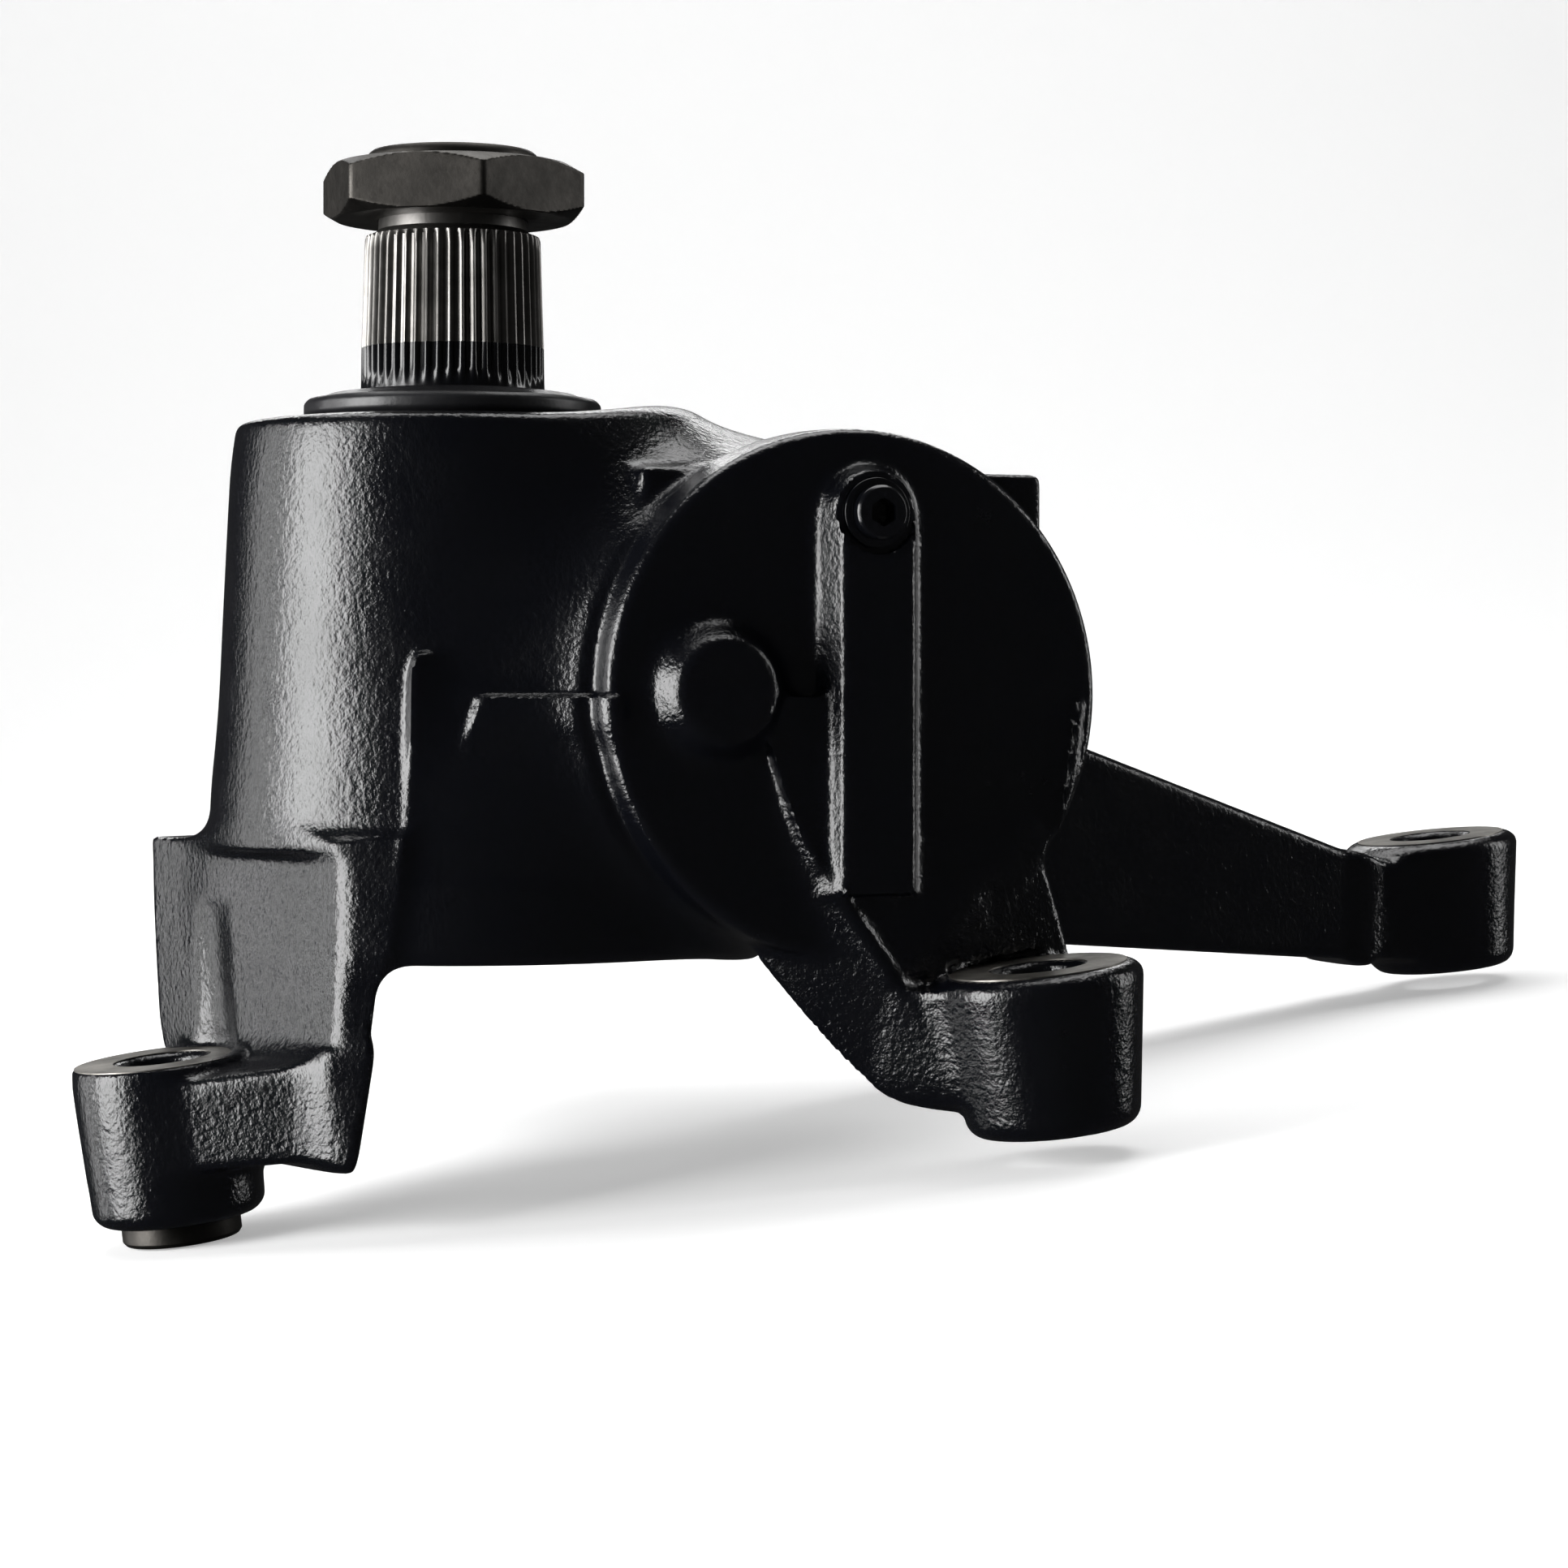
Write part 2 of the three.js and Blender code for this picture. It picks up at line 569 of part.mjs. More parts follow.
part("pitman_nut", pitmanNut(), blackOxide);
part("dust_cover", turned(
  [[clearOf(SHAFT_RADIUS), 58.6], [31, 58.6], [31.9, 59.6], [31.9, 62.2], [30.4, 63.8], [26, 64.6],
    [clearOf(SHAFT_RADIUS), 65], [clearOf(SHAFT_RADIUS), 58.6]],
  "Z", sector, ROUND,
), rubber);
part("sector_bearing_upper", ring(clearOf(SHAFT_RADIUS), 24.2, 24.5, 43.7, "Z", sector), steel);
part("sector_bearing_lower", ring(clearOf(SHAFT_RADIUS), 24.2, -43.4, -27, "Z", sector), steel);
part("sector_oil_seal", ring(clearOf(SHAFT_RADIUS), 27.6, 47.3, 56.5, "Z", sector), rubber);

// ---- rack piston and ball circuit ----
const PISTON_RADIUS = 36.5;
const PISTON_FRONT = 36;
const PISTON_BACK = 131;
const RING_GROOVE = 124;
const POCKET_FLOOR = 19;
const STRAP_FLOOR = 30.8;
const STRAP_TOP = 32.8;
const RETURN_RADIUS = 5;
const guideScrews = [[BORE_X + 6, CIRCUIT_Y + 9], [BORE_X - 6, CIRCUIT_Y - 9]];

function circuit(overrun = 0) {
  return new BallPath(-overrun, CIRCUIT_TURNS * 2 * Math.PI + overrun);
}

const circuitStart = circuit().getPoint(0);
const circuitEnd = circuit().getPoint(1);

function rackPiston() {
  const body = turned(
    [[0, PISTON_FRONT], [PISTON_RADIUS - 1, PISTON_FRONT], [PISTON_RADIUS, PISTON_FRONT + 1],
      [PISTON_RADIUS, RING_GROOVE], [PISTON_RADIUS - 3, RING_GROOVE], [PISTON_RADIUS - 3, RING_GROOVE + 4],
      [PISTON_RADIUS, RING_GROOVE + 4], [PISTON_RADIUS, PISTON_BACK], [0, PISTON_BACK]],
    "Y", worm, ROUND,
  );
  const flatDepth = BORE_X - SECTOR_X - PITCH_RADIUS + ADDENDUM - GAP;
  const rise = [circuitStart, circuitEnd].map(
    (p) => rod(RETURN_RADIUS + GAP, 0, POCKET_FLOOR + 2, "Z", [p.x, p.y, 0], 16),
  );
  return cut(
    body,
    rod(BALL_PITCH_RADIUS + 0.9, PISTON_FRONT - 1, PISTON_BACK + 1, "Y", worm),
    rod(19, PISTON_FRONT - 1, PISTON_FRONT + 7, "Y", worm, 24),
    box(-60, BORE_X - flatDepth, SECTOR_Y - 30, SECTOR_Y + 30, -60, 60),
    ...[-1, 0, 1].map((step) => rackGroove(SECTOR_Y + step * TOOTH_PITCH)),
    sweep(circuit(0.5), GROOVE_RADIUS + 0.1, grooveSteps(circuit(0.5), 18)),
    ...rise,
    box(BORE_X - 21, BORE_X + 21, CIRCUIT_Y - 17, CIRCUIT_Y + 15.5, POCKET_FLOOR, 60),
    ...guideScrews.map(([x, y]) => rod(2.2, STRAP_TOP - 19, 40, "Z", [x, y, 0], 10)),
  );
}

part("rack_piston", rackPiston(), darkSteel);
part("piston_ring", ring(
  PISTON_RADIUS - 2.7, BORE_RADIUS - 0.25, RING_GROOVE + GAP, RING_GROOVE + 4 - GAP, "Y", worm, ROUND,
), seatPlastic);
part("piston_end_plug", rod(18.6, PISTON_FRONT + 0.5, PISTON_FRONT + 6.6, "Y", worm, 24), steel);

function ballTrain() {
  const path = circuit();
  const count = Math.floor(path.getLength() / BALL_SPACING);
  const balls = Array.from({ length: count + 1 }, (_, i) => {
    const p = path.getPoint(i / count);
    return solid(new THREE.IcosahedronGeometry(BALL_RADIUS, 1).translate(p.x, p.y, p.z));
  });
  return join(...balls);
}

part("ball_train", ballTrain(), steel);

function returnGuide() {
  const top = POCKET_FLOOR + RETURN_RADIUS + GAP;
  const bend = (p, side) => [
    new THREE.Vector3(p.x, p.y, 11), new THREE.Vector3(p.x, p.y, 15), new THREE.Vector3(p.x, p.y, 20.5),
    new THREE.Vector3(p.x - side * 3.4, p.y + side * 2.2, top - 0.4),
  ];
  const path = new THREE.CatmullRomCurve3([...bend(circuitStart, 1), ...bend(circuitEnd, -1).reverse()]);
  return sweep(path, RETURN_RADIUS - 0.3, 18, 8);
}

part("ball_return_guide", returnGuide(), steel);

function guideStrap() {
  const ends = guideScrews.flatMap(([x, y]) => [
    ...circlePoints(4.2, "Z", [x, y, 0], STRAP_FLOOR, 16),
    ...circlePoints(4.2, "Z", [x, y, 0], STRAP_TOP, 16),
  ]);
  const feet = guideScrews.map(
    ([x, y]) => rod(3.6, POCKET_FLOOR + GAP, STRAP_FLOOR + 0.5, "Z", [x, y, 0], 16),
  );
  return cut(join(hull(ends), ...feet), ...guideScrews.map(([x, y]) => rod(2.2, 0, 60, "Z", [x, y, 0], 10)));
}

part("return_guide_clamp", guideStrap(), steel);
guideScrews.forEach(([x, y], i) => {
  const head = rod(3.4, GAP, 1.6, "Z", [0, 0, 0], 12);
  const screw = join(head, rod(1.9, -17.8, GAP + 0.2, "Z", [0, 0, 0], 10));
  part(`guide_clamp_screw_${i + 1}`, placed(screw, place(x, y, STRAP_TOP)), blackOxide);
});

// ---- worm, torsion bar and valve ----
const WORM_RADIUS = BALL_PITCH_RADIUS - 0.9;
const WORM_FRONT = 70.5;
const WORM_THREAD_END = 148;
const BEARING_FRONT = 161;
const BEARING_BACK = 172;
const VALVE_FRONT = 177;
const VALVE_BACK = 205;
const SLEEVE_OUTER = 18;
const INPUT_RADIUS = 11;
const BAR_HOLE = 3.6;
const PIN_RADIUS = 1.5;
const WORM_PIN_Y = 152.5;
const INPUT_PIN_Y = 238;
const STUB_END = 256;

function wormShaft() {
  const body = turned(
    [[0, WORM_FRONT - 2], [WORM_RADIUS - 1.5, WORM_FRONT - 2], [WORM_RADIUS, WORM_FRONT],
      [WORM_RADIUS, WORM_THREAD_END + 8],
      [14.5, WORM_THREAD_END + 10], [14.5, 160], [12, 160], [12, 173.5], [SLEEVE_OUTER - 1.5, 173.5],
      [SLEEVE_OUTER - 1.5, VALVE_FRONT - GAP], [0, VALVE_FRONT - GAP]],
    "Y", worm,
  );
  const half = ((WORM_THREAD_END - CIRCUIT_Y) / WORM_LEAD) * 2 * Math.PI;
  const back = CIRCUIT_TURNS * Math.PI + half;
  const front = CIRCUIT_TURNS * Math.PI - half - Math.PI;
  const thread = new BallPath(front, back);
  return cut(
    body,
    sweep(thread, GROOVE_RADIUS, grooveSteps(thread, 9), 6),
    rod(4.3, WORM_PIN_Y - 6, VALVE_FRONT + 1, "Y", worm, 16),
    rod(PIN_RADIUS + 0.2, -20, 20, "X", [BORE_X, WORM_PIN_Y, 0], 10),
  );
}

part("worm_shaft", wormShaft(), steel);
part("torsion_bar", cut(
  turned(
    [[0, WORM_PIN_Y - 5], [4, WORM_PIN_Y - 5], [4, WORM_PIN_Y + 5], [2.6, WORM_PIN_Y + 9], [2.6, INPUT_PIN_Y - 9],
      [3.3, INPUT_PIN_Y - 5], [3.3, INPUT_PIN_Y + 4], [0, INPUT_PIN_Y + 4]],
    "Y", worm, 16,
  ),
  rod(PIN_RADIUS + 0.2, -20, 20, "X", [BORE_X, WORM_PIN_Y, 0], 10),
  rod(PIN_RADIUS + 0.6, -20, 20, "X", [BORE_X, INPUT_PIN_Y, 0], 10),
), steel);
part("torsion_pin_front", rod(PIN_RADIUS, -13, 13, "X", [BORE_X, WORM_PIN_Y, 0], 10), darkSteel);

const SLEEVE_GROOVES = [183, 191, 199];
const RING_WIDTH = 2.4;

function valveSleeve() {
  const outer = SLEEVE_GROOVES.flatMap((y) => [
    [SLEEVE_OUTER, y - RING_WIDTH / 2], [SLEEVE_OUTER - 1.8, y - RING_WIDTH / 2],
    [SLEEVE_OUTER - 1.8, y + RING_WIDTH / 2], [SLEEVE_OUTER, y + RING_WIDTH / 2],
  ]);
  const inner = INPUT_RADIUS + GAP;
  const body = turned(
    [[inner, VALVE_FRONT], [SLEEVE_OUTER, VALVE_FRONT], ...outer, [SLEEVE_OUTER, VALVE_BACK],
      [inner, VALVE_BACK], [inner, VALVE_FRONT]],
    "Y", worm,
  );
  const ports = [187, 195].flatMap((y, row) => [0, 1, 2].map((i) => {
    const angle = (i / 3) * 2 * Math.PI + row;
    const drill = new THREE.CylinderGeometry(2, 2, 12, 6).rotateX(Math.PI / 2);
    drill.translate(0, 0, SLEEVE_OUTER - 2).rotateY(angle).translate(BORE_X, y, 0);
    return solid(drill);
  }));
  return cut(body, ...ports);
}

part("valve_sleeve", valveSleeve(), steel);
SLEEVE_GROOVES.forEach((y, i) => {
  const seal = ring(SLEEVE_OUTER - 1.6, SLEEVE_OUTER + 0.1, y - 0.9, y + 0.9, "Y", worm);
  part(`valve_sleeve_ring_${i + 1}`, seal, seatPlastic);
});

function inputShaft() {
  const body = turned(
    [[0, VALVE_FRONT], [INPUT_RADIUS, VALVE_FRONT], [INPUT_RADIUS, VALVE_BACK + 1], [10, VALVE_BACK + 2], [10, 231],
      [8.7, 232], [8.7, 254.5], [8, STUB_END], [0, STUB_END]],
    "Y", worm,
  );
  const outline = Array.from({ length: 72 }, (_, i) => {
    const radius = i % 2 ? 9.1 : 9.8;
    const angle = (i / 72) * 2 * Math.PI;
    return [radius * Math.cos(angle), radius * Math.sin(angle)];
  });
  const splines = laid(prism(outline, 232.5, 254), "Y", worm);
  const slots = [0, 1, 2, 3, 4, 5].map((i) => {
    const slot = new THREE.BoxGeometry(2.4, 20, 4).translate(0, 192, INPUT_RADIUS).rotateY((i * Math.PI) / 3);
    return solid(slot.translate(...worm));
  });
  return cut(
    join(body, splines),
    ...slots,
    rod(BAR_HOLE, VALVE_FRONT - 1, STUB_END - 6, "Y", worm, 16),
    rod(PIN_RADIUS + 0.2, -20, 20, "X", [BORE_X, INPUT_PIN_Y, 0], 10),
  );
}

part("input_shaft", inputShaft(), steel);
part("torsion_pin_rear", rod(PIN_RADIUS, -8.5, 8.5, "X", [BORE_X, INPUT_PIN_Y, 0], 10), darkSteel);

// ---- valve housing at the rear end ----
const PORTS = { pressure: 183, return: 204 };
const PORT_RADIUS = 11;
const PORT_FACE = 50;
const PORT_HOLE = 7;
const FLANGE_BACK = 171;

function valveHousing() {
  const flange = turned(
    [[0, VALVE_FACE], [CYLINDER_RADIUS + 1, VALVE_FACE], [CYLINDER_RADIUS + 1, FLANGE_BACK],
      [CYLINDER_RADIUS - 1, FLANGE_BACK + 2], [0, FLANGE_BACK + 2]],
    "Y", worm, ROUND,
  );
  const body = turned(
    [[0, FLANGE_BACK + 1], [34, FLANGE_BACK + 1], [33, 210], [30, 214], [30, VALVE_END - 1], [29, VALVE_END],
      [0, VALVE_END]],
    "Y", worm, ROUND,
  );
  const bosses = Object.values(PORTS).map((y) => turned(
    [[0, 0], [PORT_RADIUS + 2, 0], [PORT_RADIUS, PORT_FACE - 1], [PORT_RADIUS - 1, PORT_FACE], [0, PORT_FACE]],
    "X", [BORE_X, y, 0], 14,
  ));
  const spotFaces = endBolts.map((angle) => {
    const [x, z] = endBoltAt(angle);
    return rod(10.4, FLANGE_BACK, 190, "Y", [x, 0, z], 12);
  });
  const holes = endBolts.map((angle) => {
    const [x, z] = endBoltAt(angle);
    return rod(5.5, VALVE_FACE - 1, 190, "Y", [x, 0, z], 8);
  });
  const bores = [
    rod(20, VALVE_FACE - 1, 174, "Y", worm),
    rod(SLEEVE_OUTER + 0.5, 170, 209, "Y", worm),
    rod(14.5, 200, VALVE_END + 1, "Y", worm),
    rod(24, 214, VALVE_END + 1, "Y", worm),
  ];
  const drillings = Object.values(PORTS).flatMap((y) => [
    rod(4, 10, PORT_FACE - 10, "X", [BORE_X, y, 0], 10),
    rod(PORT_HOLE, PORT_FACE - 14, PORT_FACE + 1, "X", [BORE_X, y, 0], 14),
  ]);
  return cut(join(flange, body, ...bosses), ...spotFaces, ...holes, ...bores, ...drillings);
}

part("valve_housing", valveHousing(), blackPaint);
endBolts.forEach((angle, i) => {
  const [x, z] = endBoltAt(angle);
  const bolt = hexScrew(16, 8, 4.9, 34);
  part(`valve_housing_bolt_${i + 1}`, placed(bolt, place(x, FLANGE_BACK + GAP, z, -Math.PI / 2, 0, 0)), blackOxide);
});
part("valve_housing_seal", ring(38, 40.4, CYLINDER_END + 0.05, CYLINDER_END + 0.25, "Y", worm, ROUND), rubber);
part("worm_bearing", ring(clearOf(12), 19.6, BEARING_FRONT, BEARING_BACK, "Y", worm), steel);
part("input_bearing", ring(clearOf(10), 14.2, 207, 213, "Y", worm), steel);
part("input_oil_seal", ring(clearOf(10), 23.6, 214.4, 218.6, "Y", worm), rubber);
part("seal_retaining_ring", ring(19.5, 23.7, 219, 220.6, "Y", worm), blackOxide);
part("input_dust_cap", turned(
  [[clearOf(10), 222.4], [26, 222.4], [26, 223.6], [16, 226.4], [13, 229], [clearOf(10), 229],
    [clearOf(10), 222.4]],
  "Y", worm,
), rubber);
for (const [name, y] of Object.entries(PORTS)) {
  const plug = join(
    rod(PORT_HOLE - GAP, PORT_FACE - 11, PORT_FACE + 0.5, "X", [BORE_X, y, 0], 14),
    turned(
      [[0, PORT_FACE + GAP], [PORT_RADIUS - 1.5, PORT_FACE + GAP], [PORT_RADIUS - 1.5, PORT_FACE + 2.3],
        [8, PORT_FACE + 3], [0, PORT_FACE + 3]],
      "X", [BORE_X, y, 0], 14,
    ),
  );
  part(`${name}_port_plug`, plug, plugPlastic);
}

// ---- stop screw in the closed end ----
function stopScrew() {
  const head = turned(
    [[0, STOP_FACE - 1.2], [5.6, STOP_FACE - 1.2], [5.6, STOP_FRONT + 0.7], [5, STOP_FRONT], [0, STOP_FRONT]],
    "Y", [RIB_X, 0, STOP_Z], 24,
  );
  const shank = rod(4, STOP_FACE - 1.5, END_WALL - 0.5, "Y", [RIB_X, 0, STOP_Z], 16);
  const socket = laid(prism(regular(6, 5.2), 0, 4), "Y", [RIB_X, STOP_FRONT - 0.4, STOP_Z]);
  return cut(join(head, shank), socket);
}

part("stop_screw", stopScrew(), blackPaint);
part("stop_screw_seal", ring(
  4.3, 7.2, STOP_FACE - 1, STOP_FACE - GAP, "Y", [RIB_X, 0, STOP_Z], 24,
), blackPaint);

// ---- locating sleeves in two of the lugs ----
for (const side of ["left", "right"]) {
  const stand = side === "left" ? SLEEVE_STAND : -GAP;
  const sleeve = ring(
    LUG_HOLE_RADIUS + 0.4, SLEEVE_RADIUS, -LUG_DEPTH - stand, -LUG_DEPTH + 8.7, "Z", [0, 0, 0], 32,
  );
  part(`lug_sleeve_${side}`, placed(sleeve, lugFrame(LUGS[side])), steel);
}

// ---- stand the gear on its lugs, with the middle of its footprint at the origin ----
const gearbox = new THREE.Group();
assembly.rotation.y = LEAN;
gearbox.add(assembly);
gearbox.updateMatrixWorld(true);
const bounds = new THREE.Box3().setFromObject(gearbox, true);
assembly.position.set(-(bounds.min.x + bounds.max.x) / 2, -(bounds.min.y + bounds.max.y) / 2, -bounds.min.z);

export default gearbox;
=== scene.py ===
"""Looks for a power steering gear: a sand-cast, gloss-black worm gearbox with a serrated output shaft.

The casting is built as a distance field in the gear's own frame (X right, Y along the worm, Z along the
sector shaft, millimetres), meshed on a grid and carried into the row frame.
"""

import json
import math
from itertools import product

import bmesh
import bpy
import numpy as np
from mathutils import Matrix, Vector


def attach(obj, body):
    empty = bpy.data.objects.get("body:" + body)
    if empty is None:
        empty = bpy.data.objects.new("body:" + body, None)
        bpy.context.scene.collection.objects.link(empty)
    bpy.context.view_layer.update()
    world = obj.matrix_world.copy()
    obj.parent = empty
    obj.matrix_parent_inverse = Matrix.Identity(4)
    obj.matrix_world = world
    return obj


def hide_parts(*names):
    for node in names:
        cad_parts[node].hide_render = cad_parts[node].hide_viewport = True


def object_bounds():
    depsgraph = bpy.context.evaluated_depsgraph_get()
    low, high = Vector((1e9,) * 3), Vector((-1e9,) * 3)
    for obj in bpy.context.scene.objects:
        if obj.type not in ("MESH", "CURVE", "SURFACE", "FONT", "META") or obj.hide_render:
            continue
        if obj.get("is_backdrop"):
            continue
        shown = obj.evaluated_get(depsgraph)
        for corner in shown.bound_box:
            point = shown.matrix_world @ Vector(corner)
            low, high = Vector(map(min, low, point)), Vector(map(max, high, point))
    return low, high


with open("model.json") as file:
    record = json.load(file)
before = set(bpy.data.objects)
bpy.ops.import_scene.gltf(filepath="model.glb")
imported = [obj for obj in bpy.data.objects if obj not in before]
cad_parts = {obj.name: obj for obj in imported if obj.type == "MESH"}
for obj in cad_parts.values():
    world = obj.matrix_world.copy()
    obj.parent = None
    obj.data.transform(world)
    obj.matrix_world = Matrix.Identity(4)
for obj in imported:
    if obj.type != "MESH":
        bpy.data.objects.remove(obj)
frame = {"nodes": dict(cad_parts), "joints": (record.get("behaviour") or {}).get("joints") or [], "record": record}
cad_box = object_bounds()

# ---- driving dimensions, gear frame, millimetres ----
LEAN = math.radians(6.7)
GAP = 0.3
ORIGIN = (0, 0, 0)
BORE_X = 3.0
SECTOR_X, SECTOR_Y = -63.0, 68.0
COVER_X = -55.0
LUGS = {"left": (-126, 70, -76.5), "middle": (36.7, -14.8, -56), "right": (217, 128, -36.5)}
LUG_RADIUS = 19.0
LUG_DEPTH = 33.6
LUG_HOLE = 8.75
SLEEVE_RADIUS = 12.5
RIB_X = 4.5
RIB_HEIGHT = 8.0
STOP_Z = 37.0
STOP_FACE = -RIB_HEIGHT + 2.4
DRUM_TOP = 58.0
CYLINDER_END = 158.0
FLANGE_RADIUS = 54.0
VALVE_FACE = CYLINDER_END + GAP
FLANGE_BACK = 171.0
VALVE_END = 222.0
BOLT_CIRCLE = 45.5
COVER_FACE = -49.5
COVER_BOLT_CIRCLE = 43.8
PORTS = {"pressure": 183.0, "return": 204.0}
PORT_FACE = 50.0

WORM = (BORE_X, 0, 0)
SECTOR = (SECTOR_X, SECTOR_Y, 0)
COVER = (COVER_X, SECTOR_Y, 0)
SADDLE_FILLET = 36.0
STOP = (RIB_X, 0, STOP_Z)


def round_circle(radius, count, first):
    """Points spread evenly round a circle, as (a, b)."""
    angles = [first + i / count * 2 * math.pi for i in range(count)]
    return [(radius * math.cos(a), radius * math.sin(a)) for a in angles]


END_BOLTS = [(BORE_X + a, 0, b) for a, b in round_circle(BOLT_CIRCLE, 4, math.pi / 4)]
COVER_BOLTS = [(COVER_X + a, SECTOR_Y + b, 0) for a, b in round_circle(COVER_BOLT_CIRCLE, 6, 0.3)]


def gear_to_row():
    """The gear frame leans about Y; the sector joint says where the sector axis stands in the row."""
    lean = Matrix.Rotation(LEAN, 4, "Y")
    joint = next(j for j in frame["joints"] if j["name"] == "sector_turn")
    shift = Vector(joint["pos_m"]) - lean @ (Vector(SECTOR) * 0.001)
    return Matrix.Translation(shift) @ lean @ Matrix.Scale(0.001, 4)


TO_ROW = gear_to_row()
LUG_FRAMES = {
    name: Matrix.Translation(Vector(at)) @ Matrix.Rotation(-LEAN, 4, "Y") for name, at in LUGS.items()
}


# ---- distance fields ----
def soft_max(a, b, k):
    if k <= 0:
        return np.maximum(a, b)
    h = np.maximum(k - np.abs(a - b), 0) / k
    return np.maximum(a, b) + h * h * (k / 4)


def soft_min(a, b, k):
    return -soft_max(-a, -b, k)


class Field:
    """A convex body: planes over some coordinates of a point, with its edges rounded off.

    Further away than its reach a body counts as being just that far off.
    """

    reach = 14.0

    def __init__(self, normals, offsets, low, high, edge, coordinates):
        self.normals = normals
        self.offsets = offsets
        self.low = np.array(low)
        self.high = np.array(high)
        self.edge = edge
        self.coordinates = coordinates

    def __call__(self, p):
        value = np.full(len(p), self.reach, np.float32)
        near = np.all((p > self.low - self.reach) & (p < self.high + self.reach), axis=1)
        if near.any():
            q = self.coordinates(p[near])
            best = None
            for normal, offset in zip(self.normals, self.offsets):
                side = q @ normal - offset
                best = side if best is None else soft_max(best, side, self.edge)
            value[near] = best
        return value


def hull(points, edge=2.5):
    """The convex hull of some points, with softened edges."""
    bm = bmesh.new()
    for point in points:
        bm.verts.new(point)
    bmesh.ops.convex_hull(bm, input=bm.verts)
    middle = np.mean([tuple(p) for p in points], axis=0)
    planes = {}
    for face in bm.faces:
        if face.calc_area() < 0.5:
            continue
        face.normal_update()
        normal = np.array(face.normal)
        offset = float(normal @ np.array(face.verts[0].co))
        if normal @ middle > offset:
            normal, offset = -normal, -offset
        planes[tuple(np.round(normal, 2)) + (round(offset, 1),)] = (normal, offset)
    bm.free()
    normals = [n.astype(np.float32) for n, _ in planes.values()]
    offsets = [o for _, o in planes.values()]
    cloud = np.array([tuple(p) for p in points])
    return Field(normals, offsets, cloud.min(axis=0), cloud.max(axis=0), edge, lambda p: p)


def turned(profile, axis, centre, edge=0.8, matrix=None):
    """A body turned about an axis; the profile holds (radius, along), from the axis round to the axis."""
    steps = [(b[0] - a[0], b[1] - a[1], a) for a, b in zip(profile, profile[1:])]
    normals, offsets = [], []
    for dr, da, start in steps:
        length = math.hypot(dr, da)
        normal = np.array([da / length, -dr / length], np.float32)
        normals.append(normal)
        offsets.append(float(normal @ np.array(start)))
    across = [i for i in range(3) if i != "XYZ".index(axis)]
    along = "XYZ".index(axis)
    inverse = np.array(matrix.inverted()) if matrix else np.eye(4)

    def coordinates(p):
        local = p @ inverse[:3, :3].T.astype(np.float32) + inverse[:3, 3].astype(np.float32)
        a = local[:, across[0]] - centre[across[0]]
        b = local[:, across[1]] - centre[across[1]]
        return np.stack([np.sqrt(a * a + b * b), local[:, along] - centre[along]], axis=1)

    reach = max(abs(r) for r, _ in profile)
    low = np.array(centre, float) - reach
    high = np.array(centre, float) + reach
    low[along] = centre[along] + min(a for _, a in profile)
    high[along] = centre[along] + max(a for _, a in profile)
    if matrix:
        corners = [matrix @ Vector(c) for c in product(*zip(low, high))]
        low = np.min([tuple(c) for c in corners], axis=0)
        high = np.max([tuple(c) for c in corners], axis=0)
    return Field(normals, offsets, low, high, edge, coordinates)


def rod(radius, start, end, axis, centre, edge=0.3, matrix=None):
    return turned([(0, start), (radius, start), (radius, end), (0, end)], axis, centre, edge, matrix)


def box(x0, x1, y0, y1, z0, z1, edge=2.5):
    return hull(list(product((x0, x1), (y0, y1), (z0, z1))), edge)


def lug_circle(lug, radius, z, count=16):
    angles = [i / count * 2 * math.pi for i in range(count)]
    return [LUG_FRAMES[lug] @ Vector((radius * math.cos(a), radius * math.sin(a), z)) for a in angles]


def at(outline, z):
    return [(x, y, z) for x, y in outline]


def lug_boss(lug, shoulder):
    profile = [
        (0, -LUG_DEPTH), (LUG_RADIUS - 3, -LUG_DEPTH), (LUG_RADIUS - 1, -LUG_DEPTH + 2),
        (LUG_RADIUS + shoulder, -2.4), (LUG_RADIUS + shoulder / 2, -0.6), (LUG_RADIUS - 0.2, 0), (0, 0),
    ]
    return turned(profile, "Z", ORIGIN, 0.9, LUG_FRAMES[lug])


def rib_outline(half, top, y):
    arc = [(i / 10) * math.pi for i in range(11)]
    points = [(RIB_X + half * math.cos(a), y, top - half + half * math.sin(a)) for a in arc]
    return points + [(RIB_X - half, y, -41), (RIB_X + half, y, -41)]


class Casting:
    """Bodies blended together with cast fillets, then machined."""

    def __init__(self, low, high):
        self.low = np.array(low, float)
        self.high = np.array(high, float)
        self.bodies = []
        self.cuts = []

    def add(self, field, fillet):
        self.bodies.append((field, fillet))

    def cut(self, field, edge=0.5):
        self.cuts.append((field, edge))

    def skin(self, p, value):
        return value

    def __call__(self, p):
        p = np.asarray(p, np.float32)
        value = np.full(len(p), 14.0, np.float32)
        for field, fillet in self.bodies:
            value = soft_min(value, field(p), fillet)
        value = self.skin(p, value)
        for field, edge in self.cuts:
            value = soft_max(value, -field(p), edge)
        return value


def ramp(x, start, end):
    t = np.clip((x - start) / (end - start), 0, 1)
    return t * t * (3 - 2 * t)


# The parting edge down the middle arm's face: X against the depth below the parting plane.
ARM_DEPTHS = (0, 7.4, 14.8, 27.2, 35.6, 42.3, 56.7)
ARM_EDGE = (-20.0, -18.4, -16.3, -11.5, -7.0, -1.6, 8.3)
LEDGE_X = -73.0
FLASH = 0.22
RAGGED_FLASH = 0.4
LEDGE_STEP = 1.3


